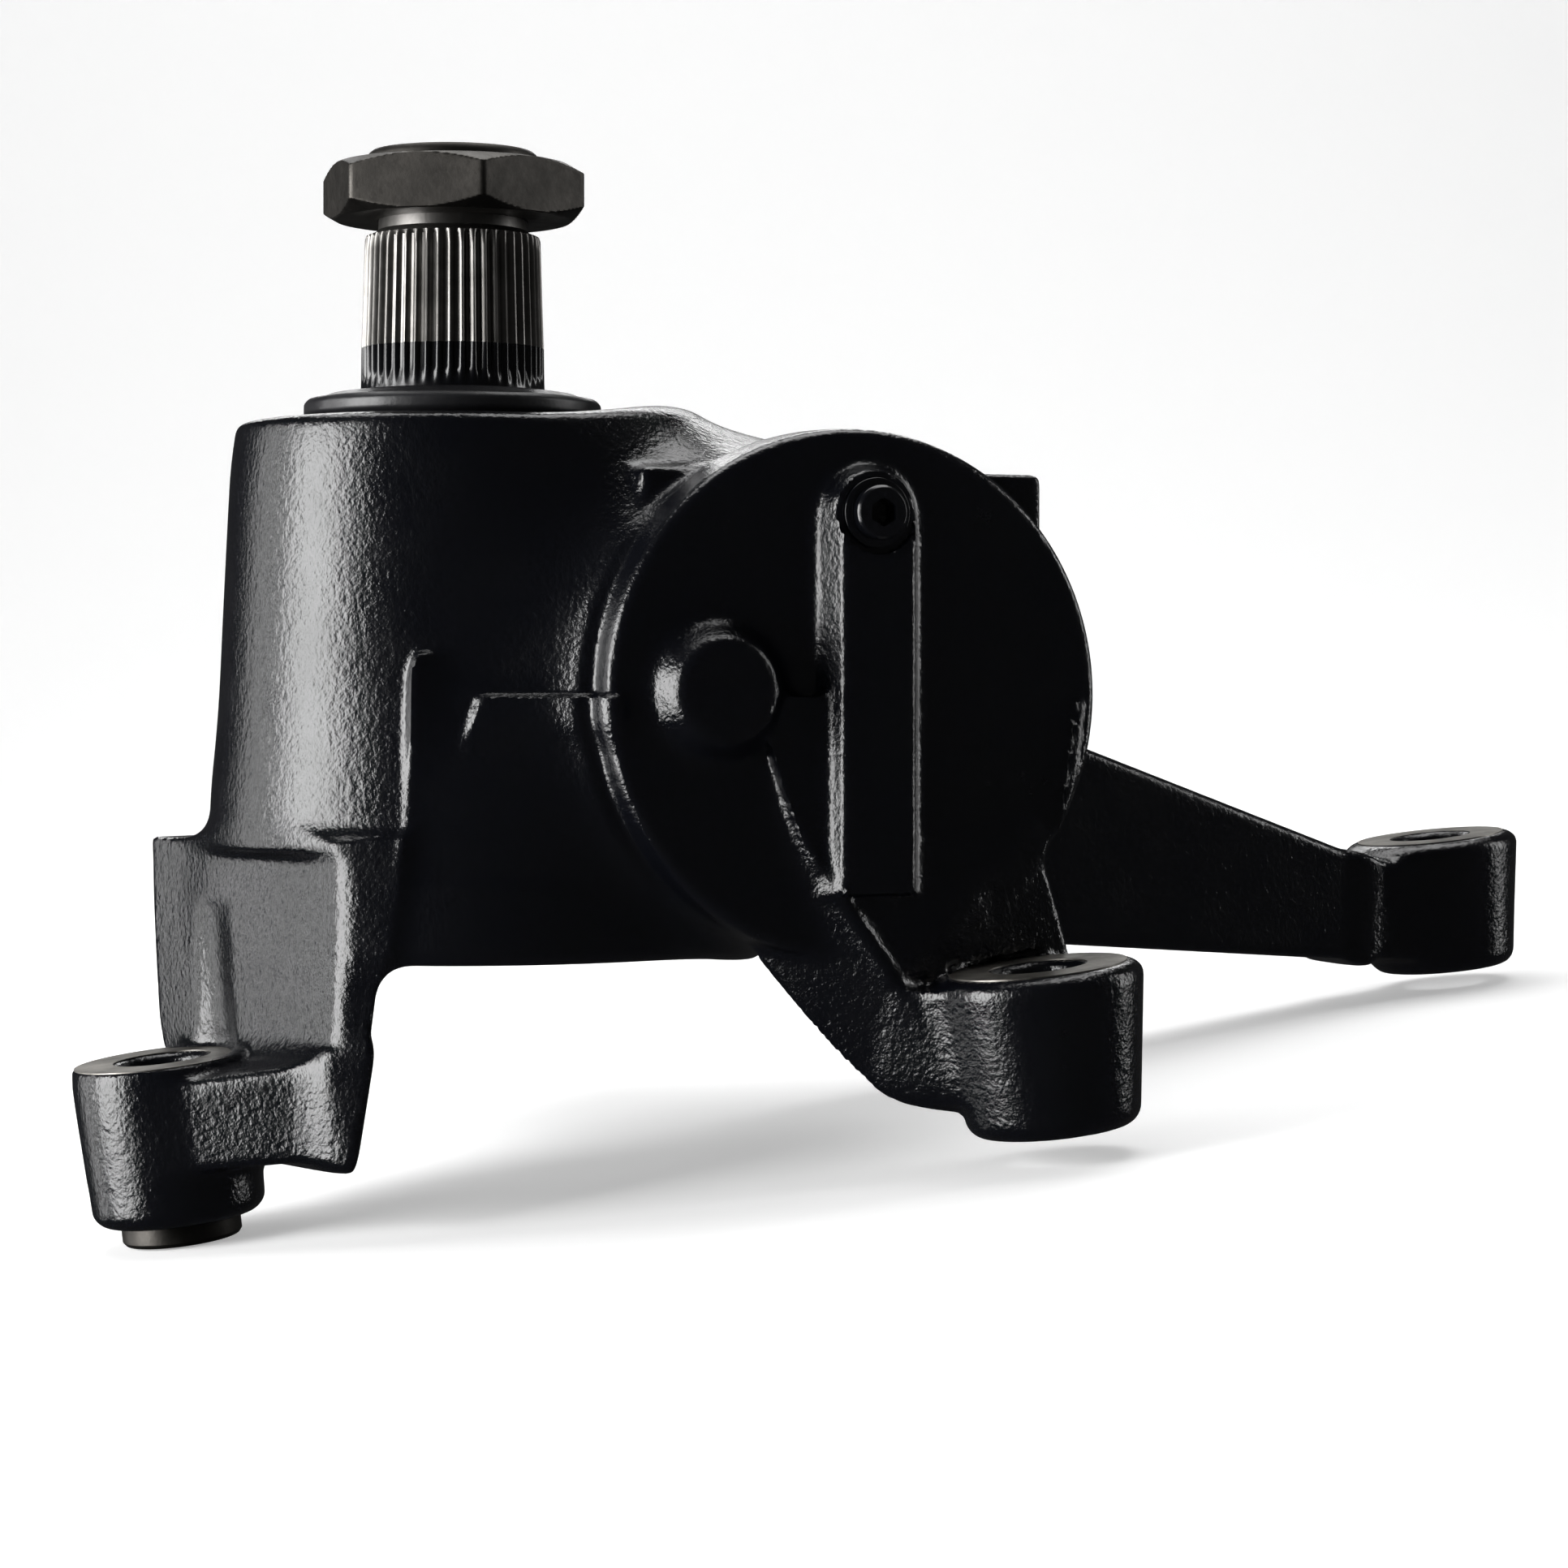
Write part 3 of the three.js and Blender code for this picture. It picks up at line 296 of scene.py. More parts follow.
class GearCasting(Casting):
    def skin(self, p, value):
        """The mould's parting line: a thin flash, with the lower half slightly proud of the upper."""
        x, y, z = p[:, 0], p[:, 1], p[:, 2]
        front = 1 - ramp(y, 34, 44)
        across = ramp(x, LEDGE_X, LEDGE_X + 2) * (1 - ramp(x, -14, -10))
        flash = FLASH * np.exp(-((z / 0.5) ** 2)) * across * front

        on_arm = ramp(-z, 1, 4) * (1 - ramp(-z, 54, 58)) * (1 - ramp(y, -1.5, 0.5))
        ragged = 0.55 + 0.45 * np.sin(2.1 * z) * np.sin(0.83 * z + 1)
        off_edge = x - np.interp(-z, ARM_DEPTHS, ARM_EDGE)
        edge = RAGGED_FLASH * ragged * np.exp(-((off_edge / 0.7) ** 2)) * on_arm

        ledge_end = ramp(x - 0.35 * z, LEDGE_X - 1, LEDGE_X + 0.5) * (1 - ramp(x, -50, -46))
        proud = LEDGE_STEP * ramp(-z, -0.1, 0.7) * ledge_end * front * ramp(z, -13, -4)
        return value - flash - edge - proud


def left_leg(casting):
    casting.add(hull([
        *at([(-100.2, 26.4), (-89, 20.8), (-86, 36), (-122.6, 99), (-108, 108), (-84, 60)], -31),
        *at([(-101, 26.8), (-91.7, 21.6), (-88, 36), (-121.5, 99), (-108, 107), (-86, 60)], -54),
        *at([(-101.9, 28), (-93.8, 23.4), (-90, 37.5), (-120.6, 99), (-108, 106), (-90, 60)], -74),
        *at([(-100, 31), (-97, 27.5), (-93, 38), (-112, 98)], -97),
    ], 1.6), 7)
    casting.add(hull([
        *lug_circle("left", LUG_RADIUS - 1, -3), *lug_circle("left", LUG_RADIUS - 2, -24),
        *at([(-101, 27.5), (-94, 23.6), (-90, 40), (-96, 90)], -73),
        *at([(-101, 31), (-97, 27.6), (-94, 40), (-98, 88)], -96),
    ], 3), 6)
    casting.add(lug_boss("left", 0.2), 3)
    casting.cut(rod(LUG_RADIUS - 3.5, 0, 30, "Z", ORIGIN, 1.5, LUG_FRAMES["left"]), 1)
    face = [(-97.8, 18.8), (-122.8, 98.8), (-159, 87.6), (-126.5, 10)]
    casting.cut(hull([*at(face, -33), *at(face, -71)], 3), 2.5)


def middle_arm(casting):
    edge = list(zip(ARM_EDGE, ARM_DEPTHS))[:-1]
    casting.add(hull([
        *[(x, y, -z - 0.5) for x, z in edge for y in (-3.4, 4)], (8, -3.4, -0.5), (8, 4, -0.5),
        (8, -3.4, -44), (8, 4, -44),
    ], 0.8), 1.5)
    casting.add(hull([
        (-4, -3.2, -41), (12, -1, -31.5), (43, 0, -27.5), (46, 10, -30), (6.5, -8.5, -58.5), (54, 4, -57),
        (54, 12, -58), (0, 8, -44), (6, 6, -62), (40, 10, -70),
    ], 1), 2.5)
    casting.add(hull([
        (-17.6, 0.5, -14), (-11.5, -2.8, -28), (-7, -3.1, -36), (-1.6, -3.3, -43), (6.5, -8, -58.6),
        (-12.4, 0.5, -33.5), (-20, 12, -30), (-16, 12, -54), (-14.4, 9, -56), (-10.5, 8, -61.5),
        (-5.8, 6, -68), (-1.2, 4, -74), (3.4, 2, -79), (8, 0, -82.5), (12.2, -3, -84.8), (18, -8, -85.6),
        (9, -9, -60), (30, -8, -86), (22.7, -10, -86.4), (10, 12, -60), (20, 4, -84),
    ], 1.2), 2)
    casting.add(hull([
        *lug_circle("middle", LUG_RADIUS - 0.5, -2.4), *lug_circle("middle", LUG_RADIUS - 3.5, -28),
        (8, -7.5, -59.6), (8, 3, -60), (8, 0, -82), (12, -3, -84), (18, -8, -85.4),
        (42, 10, -59), (30, 12, -60),
    ], 2), 3)
    casting.add(lug_boss("middle", 2.6), 2)
    casting.cut(rod(LUG_RADIUS - 6, 0, 16, "Z", ORIGIN, 1, LUG_FRAMES["middle"]), 0.6)
    casting.cut(rod(LUG_RADIUS - 0.4, 0, 1.6, "Z", ORIGIN, 0.3, LUG_FRAMES["middle"]), 0.4)


def right_arm(casting):
    near = [(20, 92), (20, 116)]
    far = [(190, 114), (190, 140)]
    casting.add(hull([*at(near, 16.5), *at(near, -54), *at(far, -41), *at(far, -67)], 3), 10)
    casting.add(hull([
        *at(far, -41), *at(far, -67), *lug_circle("right", LUG_RADIUS - 1, -2.4),
        *lug_circle("right", LUG_RADIUS - 2, -LUG_DEPTH + 2),
    ], 3), 8)
    casting.add(lug_boss("right", 2.8), 3)


def cylinder_and_drum(casting):
    cylinder = turned(
        [(0, 14), (53, 14), (53, 60), (51, 110), (51, 150), (0, 150)], "Y", WORM, 2,
    )
    drum = turned(
        [(0, -43), (51.5, -43), (50.2, 0), (47.2, 53), (46.3, 57), (44.5, DRUM_TOP), (0, DRUM_TOP)],
        "Z", SECTOR, 1.6,
    )
    end_ring = turned(
        [(0, 140), (51, 140), (FLANGE_RADIUS, 146), (FLANGE_RADIUS, CYLINDER_END), (0, CYLINDER_END)],
        "Y", WORM, 0.6,
    )
    cylinder.reach = drum.reach = SADDLE_FILLET
    casting.add(lambda p: soft_min(cylinder(p), drum(p), SADDLE_FILLET), 0)
    casting.add(end_ring, 5)


def sector_chamber(casting):
    """The wide lower chamber with its flanged foot, and the flat-topped saddle over the sector's gear."""
    chamber = [(0, -54), (55.5, -54), (55.2, -20), (50.5, -2), (0, -2)]
    foot = [(0, -55), (55.3, -55), (56.8, -53), (56.8, -39), (55, -37), (0, -37)]
    casting.add(turned(chamber, "Z", (COVER_X - 1.5, SECTOR_Y, 0), 1.5), 7)
    casting.add(turned(foot, "Z", (COVER_X - 3, SECTOR_Y, 0), 0.8), 1.5)
    casting.add(hull([
        (SECTOR_X, 40, 57), (SECTOR_X, 96, 57), (-16, 46, 55.5), (-16, 92, 55.5),
        (10, 50, 54), (10, 92, 54), (SECTOR_X + 20, 42, 46), (14, 36, 46),
        (SECTOR_X, 44, -46), (SECTOR_X, 100, -46), (14, 29, -46), (14, 104, -46),
        (14, 104, 44), (SECTOR_X, 104, 44),
    ], 5), 9)


def blocks(casting):
    """The square block behind the end wall, and the pad on the drum's front."""
    casting.add(box(-39.4, 51.4, 13.5, 30, 0, 46.8, 2.0), 2)
    casting.add(hull([
        *at([(-87.4, 20.4), (-73, 17), (-60, 16), (-86, 40), (-50, 40)], -42),
        (-86.6, 20.2, 6),
        *at([(-85.2, 20.6), (-70, 22.8), (-66, 30), (-80, 40), (-60, 40)], 8.3),
    ], 0.9), 1.8)


def end_wall(casting):
    wall = [(0, 0), (53.4, 0), (54.6, 1.4), (55.2, 10), (55.2, 13), (52, 15), (0, 15)]
    casting.add(turned(wall, "Y", WORM, 0.8), 2)


def end_wall_features(casting):
    """The raised strip at the right of the wall, the round boss and the rib that carries the stop screw."""
    casting.add(hull([
        (52.4, -1.4, -1.5), (48.6, -1.6, -28), (54.6, -0.8, -1.5),
        (54.6, 4, -1.5), (50, 4, -30), (52.6, -0.8, -18),
    ], 0.5), 1)
    boss = [(0, -7), (9.8, -7), (10.6, -6.6), (15, 0), (15.5, 1), (15.5, 3), (0, 3)]
    casting.add(turned(boss, "Y", (-28, 0, 0.5), 0.8), 2.5)
    casting.add(hull([*rib_outline(12, 48, 1), *rib_outline(7.8, 45, -RIB_HEIGHT)], 0.9), 2)


def machine_housing(casting):
    """Bores, seats and holes."""
    cut = casting.cut
    cut(rod(37, 9, CYLINDER_END + 2, "Y", WORM))
    cut(rod(39.2, -44, 25, "Z", COVER))
    seat = rod(50, -58, -43, "Z", COVER)
    cut(lambda p: soft_max(seat(p), -84 - p[:, 0], 0.5))
    cut(rod(24.5, 20, 44, "Z", SECTOR))
    cut(rod(21.2, 20, 60, "Z", SECTOR))
    cut(rod(28, 47, 60, "Z", SECTOR))
    cut(rod(4.3, -12, 11, "Y", STOP))
    cut(rod(8.6, -14, STOP_FACE, "Y", STOP), 0.3)
    chamfer = [(0, -3), (LUG_HOLE - 1.6, -3), (LUG_HOLE + 2.4, 1), (0, 1)]
    for lug, matrix in LUG_FRAMES.items():
        cut(rod(LUG_HOLE, -LUG_DEPTH - 2, 2, "Z", ORIGIN, 0.3, matrix))
        cut(turned(chamfer, "Z", ORIGIN, 0, matrix), 0.2)
        if lug != "middle":
            cut(rod(SLEEVE_RADIUS + 0.3, -LUG_DEPTH - 2, -LUG_DEPTH + 9, "Z", ORIGIN, 0.3, matrix))


def gear_casting():
    """The gear housing: cylinder, sector chamber and drum, end wall with its rib, and three legs."""
    casting = GearCasting((-150, -38, -113), (242, 162, 63))
    cylinder_and_drum(casting)
    sector_chamber(casting)
    blocks(casting)
    left_leg(casting)
    right_arm(casting)
    end_wall(casting)
    middle_arm(casting)
    end_wall_features(casting)
    machine_housing(casting)
    return casting


def valve_casting():
    """The valve housing: a round flange, the valve's barrel and two port bosses."""
    casting = Casting((-60, 152, -60), (62, 230, 60))
    flange = [
        (0, VALVE_FACE), (FLANGE_RADIUS, VALVE_FACE), (FLANGE_RADIUS, FLANGE_BACK),
        (FLANGE_RADIUS - 2, FLANGE_BACK + 2), (0, FLANGE_BACK + 2),
    ]
    barrel = [
        (0, 165), (35, 165), (34.6, 200), (33.2, 210), (30.6, 219), (29.4, VALVE_END), (0, VALVE_END),
    ]
    port = [(0, 0), (14, 0), (11.2, PORT_FACE - 1), (10, PORT_FACE), (0, PORT_FACE)]
    casting.add(turned(flange, "Y", WORM, 1.4), 0)
    casting.add(turned(barrel, "Y", WORM, 1), 7)
    for y in PORTS.values():
        casting.add(turned(port, "X", (BORE_X, y, 0), 0.6), 6)
        casting.cut(rod(7, PORT_FACE - 14, PORT_FACE + 2, "X", (BORE_X, y, 0)), 0.3)
    for centre in END_BOLTS:
        casting.cut(rod(10.4, FLANGE_BACK, 192, "Y", centre), 0.6)
        casting.cut(rod(5.5, VALVE_FACE - 2, 190, "Y", centre), 0.3)
    casting.cut(rod(20, VALVE_FACE - 2, 209, "Y", WORM))
    casting.cut(rod(14.5, 200, VALVE_END + 2, "Y", WORM))
    casting.cut(rod(24, 214, VALVE_END + 2, "Y", WORM), 0.3)
    return casting


# ---- meshing a field ----
def grid_points(origin, step, cells):
    x, y, z = (origin[i] + step * cells[i] for i in range(3))
    return np.stack([x, y, z], axis=1).astype(np.float32)


def sample(field, step, block):
    """The field on a regular grid, worked out closely only in the blocks the surface can pass through."""
    counts = np.ceil((field.high - field.low) / (step * block)).astype(int)
    blocks = np.stack(np.meshgrid(*[np.arange(n) for n in counts], indexing="ij"), -1).reshape(-1, 3)
    middles = (field.low + (blocks + 0.5) * step * block).astype(np.float32)
    coarse = field(middles)
    full = np.repeat(np.repeat(np.repeat(coarse.reshape(counts), block, 0), block, 1), block, 2)
    reach = math.sqrt(3) / 2 * step * (block + 1) + 0.6
    active = blocks[np.abs(coarse) < reach]
    inner = np.stack(np.meshgrid(*[np.arange(block)] * 3, indexing="ij"), -1).reshape(-1, 3)
    for part in np.array_split(active, max(1, len(active) // 2500)):
        cells = (part[:, None, :] * block + inner[None]).reshape(-1, 3)
        full[cells[:, 0], cells[:, 1], cells[:, 2]] = field(grid_points(field.low, step, cells.T))
    return full


def surface_net(values):
    """One vertex in each cell that the surface crosses, and a quad round each grid edge that it crosses."""
    size = np.array(values.shape) - 1
    inside = values < 0
    corner = lambda array, d: array[d[0]:size[0] + d[0], d[1]:size[1] + d[1], d[2]:size[2] + d[2]]
    count = sum(corner(inside, d).astype(np.int8) for d in product((0, 1), repeat=3))
    cells = np.stack(np.nonzero((count > 0) & (count < 8)), axis=1)
    index = np.full(size, -1, np.int32)
    index[tuple(cells.T)] = np.arange(len(cells))
    total = np.zeros((len(cells), 3))
    crossings = np.zeros(len(cells))
    for axis in range(3):
        others = [i for i in range(3) if i != axis]
        for a, b in product((0, 1), repeat=2):
            start = np.zeros(3, int)
            start[others[0]], start[others[1]] = a, b
            end = start.copy()
            end[axis] = 1
            va = values[tuple((cells + start).T)]
            vb = values[tuple((cells + end).T)]
            crossed = (va < 0) != (vb < 0)
            t = np.where(crossed, va / np.where(crossed, va - vb, 1), 0)
            total += crossed[:, None] * (start + t[:, None] * (end - start))
            crossings += crossed
    points = cells + total / crossings[:, None]
    quads = []
    for axis in range(3):
        u, v = (axis + 1) % 3, (axis + 2) % 3
        lower = [slice(1, -1)] * 3
        lower[axis] = slice(0, -1)
        upper = [slice(1, -1)] * 3
        upper[axis] = slice(1, None)
        first, second = inside[tuple(lower)], inside[tuple(upper)]
        edges = np.stack(np.nonzero(first != second), axis=1)
        offset = np.ones(3, int)
        offset[axis] = 0
        edges += offset
        ring = []
        for du, dv in ((1, 1), (0, 1), (0, 0), (1, 0)):
            cell = edges.copy()
            cell[:, u] -= du
            cell[:, v] -= dv
            ring.append(index[tuple(cell.T)])
        ring = np.stack(ring, axis=1)
        flip = ~inside[tuple(edges.T)]
        ring[flip] = ring[flip][:, ::-1]
        quads.append(ring)
    return points, np.concatenate(quads)


def settle(field, points, step):
    """Pulls the vertices onto the surface itself."""
    h = 0.06
    start = points.copy()
    for _ in range(3):
        value = field(points)
        slope = np.stack([
            (field(points + h * e) - field(points - h * e)) / (2 * h) for e in np.eye(3, dtype=np.float32)
        ], axis=1)
        points = points - value[:, None] * slope / np.maximum((slope ** 2).sum(1), 0.2)[:, None]
        points = start + np.clip(points - start, -step, step)
    return points


def mesh_of(field, name, step):
    points, quads = surface_net(sample(field, step, 6))
    points = settle(field, points * step + field.low, step * 0.7)
    return new_object(name, points, quads, flat_angle=40)


def new_object(name, points, faces, flat_angle=35):
    """An object from gear-frame millimetres."""
    mesh = bpy.data.meshes.new(name)
    row = np.asarray(points, float) @ np.array(TO_ROW)[:3, :3].T + np.array(TO_ROW)[:3, 3]
    if isinstance(faces, np.ndarray):
        mesh.vertices.add(len(row))
        mesh.vertices.foreach_set("co", row.ravel())
        mesh.loops.add(faces.size)
        mesh.loops.foreach_set("vertex_index", faces.ravel().astype(np.int32))
        mesh.polygons.add(len(faces))
        mesh.polygons.foreach_set("loop_start", np.arange(0, faces.size, 4, dtype=np.int32))
        mesh.update(calc_edges=True)
    else:
        mesh.from_pydata([tuple(p) for p in row], [], faces)
    obj = bpy.data.objects.new(name, mesh)
    bpy.context.scene.collection.objects.link(obj)
    mesh.polygons.foreach_set("use_smooth", [True] * len(mesh.polygons))
    mesh.set_sharp_from_angle(angle=math.radians(flat_angle))
    mesh.validate()
    return obj


# ---- turned and milled pieces ----
def rounded(profile, radius):
    """The profile with each of its inner corners replaced by a small arc."""
    result = [profile[0]]
    for before, here, after in zip(profile, profile[1:], profile[2:]):
        a, b, c = (np.array(p, float) for p in (before, here, after))
        r = min(radius, np.linalg.norm(a - b) * 0.45, np.linalg.norm(c - b) * 0.45)
        start = b + (a - b) / np.linalg.norm(a - b) * r
        end = b + (c - b) / np.linalg.norm(c - b) * r
        for t in (0, 0.33, 0.67, 1):
            result.append(tuple((1 - t) ** 2 * start + 2 * t * (1 - t) * b + t * t * end))
    return result + [profile[-1]]


def carry(points, axis, centre, matrix=None):
    """Takes points turned about +Z to another axis, as (a, b, along)."""
    a, b, c = points.T
    placed = {"Z": (a, b, c), "Y": (b, c, a), "X": (c, a, b)}[axis]
    placed = np.stack(placed, axis=1) + np.array(centre, float)
    if matrix:
        placed = placed @ np.array(matrix)[:3, :3].T + np.array(matrix)[:3, 3]
    return placed


def lathe(name, profile, axis, centre, segments=96, radius=0.4, shape=None, matrix=None, closed=False):
    """A turned piece. shape(angle, r, along) can pull a ring in or out, as for a hexagon or a serration."""
    if radius:
        profile = rounded(profile, radius)
    angles = np.arange(segments) / segments * 2 * math.pi
    rows = []
    for r, along in profile:
        radii = np.full(segments, float(r)) if shape is None else shape(angles, r, along)
        ring = [radii * np.cos(angles), radii * np.sin(angles), np.full(segments, along)]
        rows.append(np.stack(ring, axis=1))
    points = carry(np.concatenate(rows), axis, centre, matrix)
    faces = []
    last = len(rows) if closed else len(rows) - 1
    for i in range(last):
        j = (i + 1) % len(rows)
        for k in range(segments):
            n = (k + 1) % segments
            faces.append((i * segments + k, i * segments + n, j * segments + n, j * segments + k))
    if not closed:
        faces.append(tuple(range(segments))[::-1])
        faces.append(tuple((len(rows) - 1) * segments + k for k in range(segments)))
    obj = new_object(name, points, faces)
    tidy(obj)
    return obj


def tidy(obj):
    bm = bmesh.new()
    bm.from_mesh(obj.data)
    bmesh.ops.remove_doubles(bm, verts=bm.verts, dist=1e-6)
    bmesh.ops.dissolve_degenerate(bm, edges=bm.edges, dist=1e-6)
    bmesh.ops.recalc_face_normals(bm, faces=bm.faces)
    bm.to_mesh(obj.data)
    bm.free()
    obj.data.set_sharp_from_angle(angle=math.radians(35))


def hexagon(flats, phase=0.0):
    def shape(angles, r, along):
        within = (angles - phase) % (math.pi / 3) - math.pi / 6
        return np.minimum(r, flats / 2 / np.cos(within))
    return shape


def bolt(name, seat, axis, centre, across, head, shank, length, direction):
    """A hexagon-head screw with a washer face; the head rises along the axis in the given direction."""
    corner = across * 0.577
    crown = [(r, head - (r - across * 0.47) * 0.55) for r in np.linspace(corner, across * 0.47, 6)]
    outline = [
        (0, -length), (shank - 0.8, -length), (shank, -length + 1), (shank, 0),
        (across * 0.56, 0), (across * 0.56, 0.6), (across * 0.5, 0.7), (corner, 0.8), *crown,
        (across * 0.3, head), (across * 0.26, head - 0.4), (0, head - 0.5),
    ]
    profile = [(r, seat + direction * along) for r, along in outline]
    six = hexagon(across)

    def shape(angles, r, along):
        rise = direction * (along - seat)
        return six(angles, r, along) if rise > 0.75 else np.full(len(angles), float(r))
    return lathe(name, profile, axis, centre, 120, 0, shape)


# ---- materials ----
def node_material(name):
    material = bpy.data.materials.new(name)
    material.use_nodes = True
    nodes, links = material.node_tree.nodes, material.node_tree.links
    return material, nodes, links, nodes["Principled BSDF"]


def object_coordinates(nodes, links, scale=(1, 1, 1), rotation=(0, 0, 0)):
    coordinates = nodes.new("ShaderNodeTexCoord")
    mapping = nodes.new("ShaderNodeMapping")
    mapping.inputs["Scale"].default_value = scale
    mapping.inputs["Rotation"].default_value = rotation
    links.new(coordinates.outputs["Object"], mapping.inputs["Vector"])
    return mapping.outputs["Vector"]


def noise(nodes, links, vector, scale, detail=4.0, roughness=0.6):
    texture = nodes.new("ShaderNodeTexNoise")
    texture.inputs["Scale"].default_value = scale
    texture.inputs["Detail"].default_value = detail
    texture.inputs["Roughness"].default_value = roughness
    links.new(vector, texture.inputs["Vector"])
    return texture.outputs["Fac"]


def levels(nodes, links, value, stops):
    """A colour ramp; each stop is (position, grey or colour)."""
    node = nodes.new("ShaderNodeValToRGB")
    elements = node.color_ramp.elements
    while len(elements) < len(stops):
        elements.new(0.5)
    for element, (position, colour) in zip(elements, stops):
        element.position = position
        grey = isinstance(colour, (int, float))
        element.color = (colour, colour, colour, 1) if grey else (*colour, 1)
    links.new(value, node.inputs["Fac"])
    return node.outputs["Color"]


def bump(nodes, links, height, distance, strength=1.0, normal=None):
    node = nodes.new("ShaderNodeBump")
    node.inputs["Distance"].default_value = distance
    node.inputs["Strength"].default_value = strength
    links.new(height, node.inputs["Height"])
    if normal:
        links.new(normal, node.inputs["Normal"])
    return node.outputs["Normal"]


def cast_paint(name, grain=0.00018, lumps=0.00015):
    """Gloss black paint over sand-cast iron: grains, larger lumps, a few pits and some dust."""
    material, nodes, links, shader = node_material(name)
    vector = object_coordinates(nodes, links)
    shader.inputs["Base Color"].default_value = (0.0018, 0.0021, 0.0034, 1)
    shader.inputs["IOR"].default_value = 1.5
    fine = noise(nodes, links, vector, 950, 3, 0.55)
    wide = noise(nodes, links, vector, 430, 3, 0.5)
    pits = nodes.new("ShaderNodeTexVoronoi")
    pits.inputs["Scale"].default_value = 95
    links.new(vector, pits.inputs["Vector"])
    pit_depth = levels(nodes, links, pits.outputs["Distance"], [(0.03, 0.0), (0.11, 1.0)])
    dust = levels(nodes, links, noise(nodes, links, vector, 60, 6, 0.7), [(0.35, 0.17), (0.75, 0.29)])
    links.new(dust, shader.inputs["Roughness"])
    normal = bump(nodes, links, wide, lumps)
    normal = bump(nodes, links, fine, grain, 1.0, normal)
    normal = bump(nodes, links, pit_depth, 0.00012, 0.5, normal)
    links.new(normal, shader.inputs["Normal"])
    return material


def smooth_paint(name):
    material, nodes, links, shader = node_material(name)
    vector = object_coordinates(nodes, links)
    shader.inputs["Base Color"].default_value = (0.0022, 0.0025, 0.0036, 1)
    links.new(levels(nodes, links, noise(nodes, links, vector, 90, 5), [(0.3, 0.16), (0.8, 0.34)]),
              shader.inputs["Roughness"])
    links.new(bump(nodes, links, noise(nodes, links, vector, 300, 3), 0.00006), shader.inputs["Normal"])
    return material


def metal(name, colours, roughness, stretch=(1, 1, 1), mark_scale=900.0, depth=0.00003):
    """Bare metal with tool marks, which stretch along the gear frame's axes."""
    material, nodes, links, shader = node_material(name)
    vector = object_coordinates(nodes, links, stretch, (0, -LEAN, 0))
    plain = object_coordinates(nodes, links)
    shader.inputs["Metallic"].default_value = 1.0
    stain = noise(nodes, links, plain, 70, 6, 0.65)
    tint = levels(nodes, links, stain, [(0.3, colours[0]), (0.72, colours[1])])
    links.new(tint, shader.inputs["Base Color"])
    wear = noise(nodes, links, vector, mark_scale * 0.4, 5, 0.7)
    gloss = levels(nodes, links, wear, [(0.25, roughness[0]), (0.8, roughness[1])])
    links.new(gloss, shader.inputs["Roughness"])
    marks = noise(nodes, links, vector, mark_scale, 3)
    links.new(bump(nodes, links, marks, depth), shader.inputs["Normal"])
    return material


def rubber(name):
    material, nodes, links, shader = node_material(name)
    vector = object_coordinates(nodes, links)
    shader.inputs["Base Color"].default_value = (0.012, 0.012, 0.014, 1)
    links.new(levels(nodes, links, noise(nodes, links, vector, 120, 5), [(0.3, 0.3), (0.8, 0.55)]),
              shader.inputs["Roughness"])
    links.new(bump(nodes, links, noise(nodes, links, vector, 500, 4), 0.00008), shader.inputs["Normal"])
    return material


def plastic(name, colour):
    material, nodes, links, shader = node_material(name)
    vector = object_coordinates(nodes, links)
    shader.inputs["Base Color"].default_value = (*colour, 1)
    links.new(levels(nodes, links, noise(nodes, links, vector, 150, 4), [(0.3, 0.35), (0.8, 0.55)]),
              shader.inputs["Roughness"])
    links.new(bump(nodes, links, noise(nodes, links, vector, 400, 3), 0.00005), shader.inputs["Normal"])
    return material


MATERIALS = {
    "cast": cast_paint("cast_black_paint"),
    "black_paint": smooth_paint("smooth_black_paint"),
    "black_oxide": metal(
        "black_oxide_steel", ((0.040, 0.038, 0.035), (0.078, 0.073, 0.067)), (0.38, 0.56),
    ),
    "steel": metal(
        "ground_steel", ((0.42, 0.41, 0.40), (0.62, 0.61, 0.60)), (0.22, 0.40), (1, 1, 4),
    ),
    "dark_steel": metal(
        "hardened_steel", ((0.11, 0.107, 0.10), (0.27, 0.26, 0.25)), (0.32, 0.46),
        (5, 5, 0.4), 500, 0.000008,
    ),
    "seat": metal(
        "machined_seat", ((0.10, 0.095, 0.085), (0.42, 0.40, 0.37)), (0.30, 0.55), (1, 1, 1), 500,
    ),
    "rubber": rubber("oil_seal_rubber"),
    "ptfe": plastic("bronze_filled_ptfe", (0.20, 0.13, 0.06)),
    "plug_plastic": plastic("red_plug_plastic", (0.42, 0.025, 0.02)),
}


def finish_piece(obj, body, slot, look=None, replaces=()):
    obj.data.materials.clear()
    obj.data.materials.append(MATERIALS[look or slot])
    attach(obj, body)
    if replaces:
        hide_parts(*replaces)
    return obj


# ---- pieces ----
def build_housing():
    step = 1.0
    casting = mesh_of(gear_casting(), "housing_casting", step)
    finish_piece(casting, "housing", "black_paint", "cast", ["gear_housing"])
    valve = mesh_of(valve_casting(), "valve_housing_casting", step)
    finish_piece(valve, "housing", "black_paint", "cast", ["valve_housing"])
    inner, outer = LUG_HOLE + 1.5, LUG_RADIUS - 0.6
    ring = [(inner, -0.2), (outer, -0.2), (outer, 0.05), (inner, 0.05)]
    for lug, matrix in LUG_FRAMES.items():
        seat = lathe(f"lug_seat_{lug}", ring, "Z", ORIGIN, 128, 0, None, matrix, True)
        finish_piece(seat, "housing", "steel", "seat")


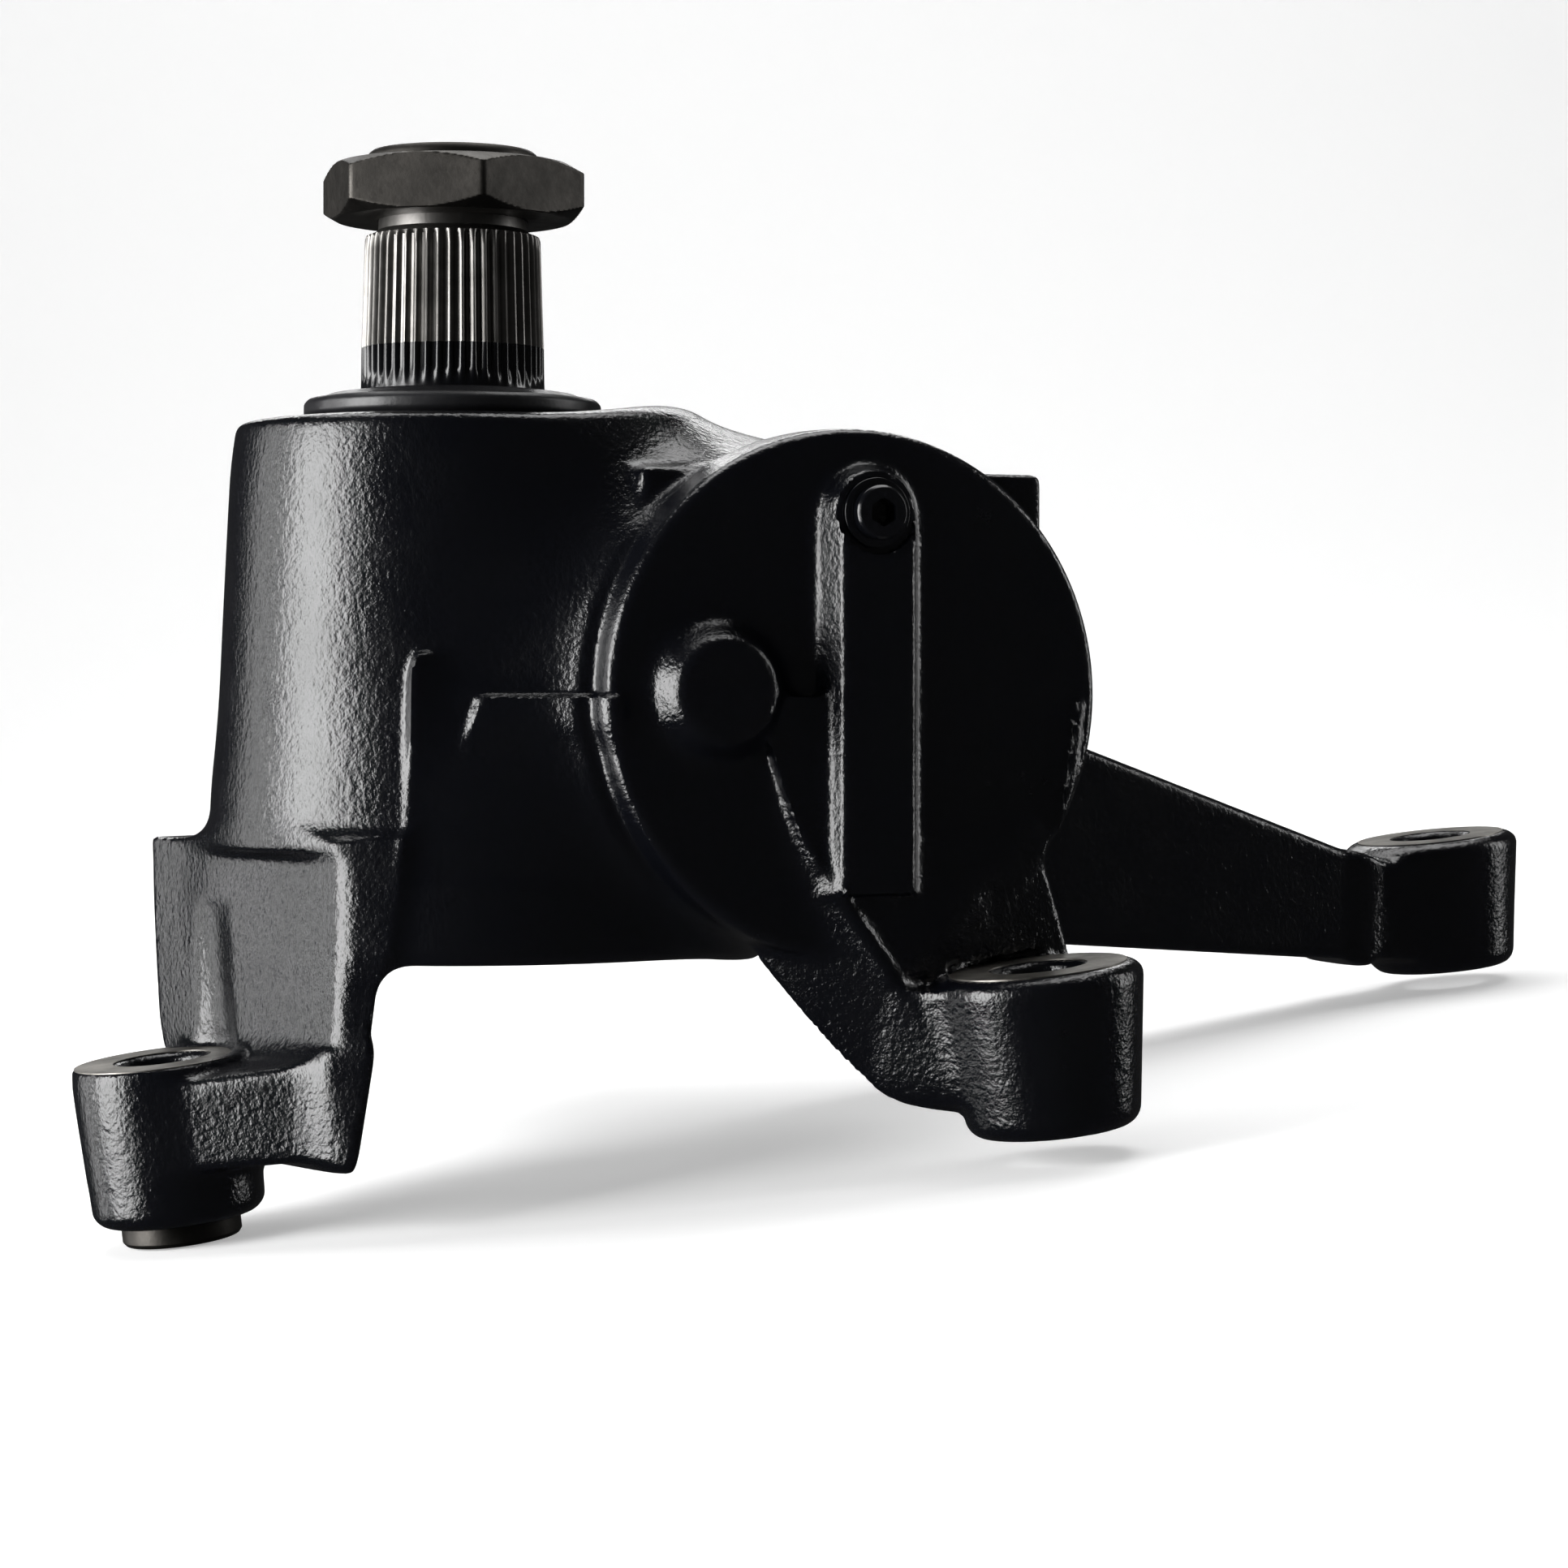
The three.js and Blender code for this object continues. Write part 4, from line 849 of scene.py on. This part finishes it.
def serrations(count, depth, start, end, run):
    """Fine V teeth between start and end, fading out over run at both ends."""
    def shape(angles, r, along):
        fade = min(1, max(0, (along - start) / run)) * min(1, max(0, (end - along) / 0.8))
        saw = np.abs((angles * count / (2 * math.pi)) % 1 - 0.5) * 2
        tooth = np.clip((saw - 0.22) / 0.56, 0, 1)
        return r - depth * fade * tooth
    return shape


PAINT_LINE = 74.3
SHAFT_END = 115.8
NUT_BOTTOM, NUT_TOP = 101.8, 113.6
NUT_FLATS = 51.0
CHAMFER_SLOPE = 0.58


def build_sector_shaft():
    """Bare serrations above the paint line, painted ones below it, and the gear teeth at the bottom."""
    teeth = serrations(48, 0.95, 66.2, 98.2, 3)
    lower = [
        (0, -33), (19, -33), (20, -32), (20, 64.6), (19.75, 65.4), (19.7, 67), (19.65, 69),
        (19.6, PAINT_LINE),
    ]
    upper = [
        (19.6, PAINT_LINE), (19.4, 80), (19.15, 88), (18.95, 95), (18.85, 97.4), (18.6, 98.2),
        (16.8, 98.9), (16.0, 99.6), (15.9, 101), (15.9, 114.6), (14.8, SHAFT_END), (3.4, SHAFT_END),
        (1.2, 113.2), (0, 113.2),
    ]
    bare = lathe("sector_shaft_serrated", upper, "Z", SECTOR, 432, 0, teeth)
    finish_piece(bare, "sector", "dark_steel", replaces=["sector_shaft"])
    painted = lathe("sector_shaft_painted", lower, "Z", SECTOR, 432, 0, teeth)
    finish_piece(painted, "sector", "dark_steel", "black_paint", ["sector_shaft"])
    hub = lathe("sector_gear", [(30.2, -21), (30.2, 21)], "Z", SECTOR, 96, 0, sector_outline)
    finish_piece(hub, "sector", "dark_steel", "steel", ["sector_shaft"])


def sector_outline(angles, r, along):
    """Three teeth towards the rack and a cut-back behind them."""
    turn = (angles + math.pi) % (2 * math.pi) - math.pi
    pitch = math.pi * 5.6 / 36
    tooth = np.abs((turn + pitch / 2) % pitch - pitch / 2)
    on_teeth = np.abs(turn) < 1.5 * pitch
    rise = np.clip((0.175 - tooth) / 0.09, 0, 1) * 10.4
    radii = np.where(on_teeth, r + rise, r)
    behind = np.cos(turn) < -12 / r
    return np.where(behind, 12 / np.maximum(-np.cos(turn), 0.05), radii)


def build_nut():
    nut_hex = hexagon(NUT_FLATS, math.radians(25.4))
    radii = np.linspace(25.3, 29.6, 10)
    lower = [(r, NUT_BOTTOM + (r - radii[0]) * CHAMFER_SLOPE) for r in radii]
    upper = [(r, NUT_TOP - (r - radii[0]) * CHAMFER_SLOPE) for r in radii[::-1]]
    profile = [
        (16.1, NUT_BOTTOM), (24.8, NUT_BOTTOM), *lower, *upper, (24.8, NUT_TOP), (18.6, NUT_TOP),
        (18.3, 115.2), (18.0, 116.0), (17.4, 116.5), (16.9, 116.5), (16.1, 115.6),
    ]

    def shape(angles, r, along):
        return nut_hex(angles, r, along) if r > 20 else np.full(len(angles), float(r))
    nut = lathe("pitman_nut_milled", profile, "Z", SECTOR, 360, 0, shape, None, True)
    finish_piece(nut, "sector", "black_oxide", replaces=["pitman_nut"])


def build_dust_cover():
    section = [
        (20.35, 58.6), (30.8, 58.6), (31.9, 59.8), (31.9, 62.0), (30.9, 63.1), (28.5, 63.3),
        (26.5, 64.2), (22.2, 64.8), (20.35, 65.0),
    ]
    cover = lathe("dust_cover_moulded", section, "Z", SECTOR, 160, 0.5, None, None, True)
    finish_piece(cover, "sector", "rubber", replaces=["dust_cover"])


def build_stop_screw():
    front = STOP_FACE - 4.2
    profile = [
        (0, 8.5), (4, 8.5), (4, STOP_FACE - 1.3), (5.6, STOP_FACE - 1.4), (5.6, front + 0.7),
        (5.0, front), (3.1, front), (2.9, front + 0.3), (2.9, front + 5), (0, front + 5.4),
    ]
    socket = hexagon(5.2)

    def shape(angles, r, along):
        return socket(angles, r, along) if r < 3.2 and along < 0 else np.full(len(angles), float(r))
    screw = lathe("stop_screw_turned", profile, "Y", STOP, 96, 0.15, shape)
    finish_piece(screw, "housing", "black_paint", replaces=["stop_screw"])
    section = [(4.3, STOP_FACE - 0.3), (7.2, STOP_FACE - 0.3), (7.2, STOP_FACE - 1), (4.3, STOP_FACE - 1)]
    seal = lathe("stop_screw_collar", section, "Y", STOP, 96, 0.2, None, None, True)
    finish_piece(seal, "housing", "black_paint", replaces=["stop_screw_seal"])


def build_sleeves():
    inner, top = LUG_HOLE + 0.4, -LUG_DEPTH + 8.7
    for side, stand in (("left", 4.5), ("right", -GAP)):
        bottom = -LUG_DEPTH - stand
        section = [
            (inner, bottom), (SLEEVE_RADIUS - 0.6, bottom), (SLEEVE_RADIUS, bottom + 0.8),
            (SLEEVE_RADIUS, top), (inner, top),
        ]
        name = f"lug_sleeve_{side}_turned"
        sleeve = lathe(name, section, "Z", ORIGIN, 96, 0.15, None, LUG_FRAMES[side], True)
        finish_piece(sleeve, "housing", "steel", "black_oxide", replaces=[f"lug_sleeve_{side}"])


def build_bolts():
    for i, centre in enumerate(END_BOLTS, 1):
        screw = bolt(f"valve_housing_bolt_{i}_forged", FLANGE_BACK + GAP, "Y", centre, 16, 8, 4.9, 33, 1)
        finish_piece(screw, "housing", "black_oxide", replaces=[f"valve_housing_bolt_{i}"])
    for i, centre in enumerate(COVER_BOLTS, 1):
        screw = bolt(f"side_cover_bolt_{i}_forged", COVER_FACE - GAP, "Z", centre, 10, 4.6, 3, 12, -1)
        finish_piece(screw, "housing", "black_paint", replaces=[f"side_cover_bolt_{i}"])


build_housing()
build_bolts()
build_sector_shaft()
build_nut()
build_dust_cover()
build_stop_screw()
build_sleeves()

slots = {entry["node"]: entry["material_slot"] for entry in frame["record"]["subparts"]}
for node, obj in frame["nodes"].items():
    obj.data.materials.clear()
    obj.data.materials.append(MATERIALS["cast" if node == "side_cover" else slots[node]])


# ---- studio ----
def view_axes():
    """The main view: level in the gear's frame, from the left of the worm axis."""
    look = Vector((0.3746, 0.9272, 0))
    right = Vector((0.9272, -0.3746, 0))
    return look, right, Vector((0, 0, 1))


def row_direction(vector):
    return (TO_ROW.to_3x3() @ vector).normalized()


def build_camera():
    look, right, up = (row_direction(v) for v in view_axes())
    camera = bpy.data.objects.new("camera", bpy.data.cameras.new("camera"))
    bpy.context.scene.collection.objects.link(camera)
    camera.data.sensor_width = 36
    camera.data.lens = 89.44
    camera.data.shift_y = -0.0575
    camera.data.clip_end = 50
    place = TO_ROW @ Vector((-311.3, -737.1, 0))
    rotation = Matrix((right, up, -look)).transposed().to_4x4()
    camera.matrix_world = Matrix.Translation(place) @ rotation
    bpy.context.scene.camera = camera


def area_light(name, bearing, height, distance, size, energy, target):
    """A soft box on a bearing from the camera's side of the object; positive is to the right."""
    look, right, _ = (row_direction(v) for v in view_axes())
    flat = Vector((-look.x, -look.y, 0)).normalized()
    side = Vector((right.x, right.y, 0)).normalized()
    direction = flat * math.cos(bearing) + side * math.sin(bearing)
    place = target + direction * distance + Vector((0, 0, height))
    light = bpy.data.lights.new(name, "AREA")
    light.shape = "RECTANGLE"
    light.size, light.size_y = size
    light.energy = energy
    obj = bpy.data.objects.new(name, light)
    bpy.context.scene.collection.objects.link(obj)
    obj.location = place
    obj.rotation_euler = (target - place).to_track_quat("-Z", "Y").to_euler()


def build_studio():
    """A floor that curves up into a back wall, five soft boxes and a faint even light."""
    look = row_direction(view_axes()[0])
    away = Vector((look.x, look.y, 0)).normalized()
    across = Vector((away.y, -away.x, 0))
    curve = [(1.2 + 0.8 * math.sin(a), 0.8 - 0.8 * math.cos(a)) for a in np.linspace(0.1, math.pi / 2, 12)]
    outline = [(-3.0, 0), (1.2, 0), *curve, (2.0, 3.5)]
    points, faces = [], []
    for distance, height in outline:
        lift = Vector((0, 0, height - 0.0004))
        points += [away * distance - across * 4 + lift, away * distance + across * 4 + lift]
    for i in range(0, 2 * len(outline) - 2, 2):
        faces.append((i, i + 1, i + 3, i + 2))
    mesh = bpy.data.meshes.new("floor")
    mesh.from_pydata(points, [], faces)
    mesh.polygons.foreach_set("use_smooth", [True] * len(faces))
    floor = bpy.data.objects.new("floor", mesh)
    bpy.context.scene.collection.objects.link(floor)
    material, _, _, shader = node_material("pale_floor")
    shader.inputs["Base Color"].default_value = (0.86, 0.86, 0.86, 1)
    shader.inputs["Roughness"].default_value = 0.9
    shader.inputs["Emission Color"].default_value = (1, 1, 1, 1)
    shader.inputs["Emission Strength"].default_value = 0.35
    mesh.materials.append(material)
    floor.visible_glossy = False
    floor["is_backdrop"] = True

    target = Vector((0, 0, 0.11))
    area_light("left_window", math.radians(-65), 0.12, 1.1, (0.64, 1.0), 25, target)
    area_light("left_side", math.radians(-100), 0.10, 1.1, (0.25, 1.0), 3, target)
    area_light("right_strip", math.radians(100), 0.10, 1.2, (0.16, 1.0), 4, target)
    area_light("top_box", math.radians(170), 1.5, 0.5, (1.6, 1.2), 22, target)
    area_light("back_wash", math.radians(180), 1.2, 0.9, (2.0, 0.6), 20, target + away * 1.8)
    world = bpy.data.worlds.new("studio")
    world.use_nodes = True
    world.node_tree.nodes["Background"].inputs["Color"].default_value = (1, 1, 1, 1)
    world.node_tree.nodes["Background"].inputs["Strength"].default_value = 0.03
    bpy.context.scene.world = world
    bpy.context.scene.view_settings.view_transform = "Standard"


build_camera()
build_studio()

sizes = {"cad": cad_box, "visual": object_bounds()}
{k: [list(map(float, corner)) for corner in v] for k, v in sizes.items()}
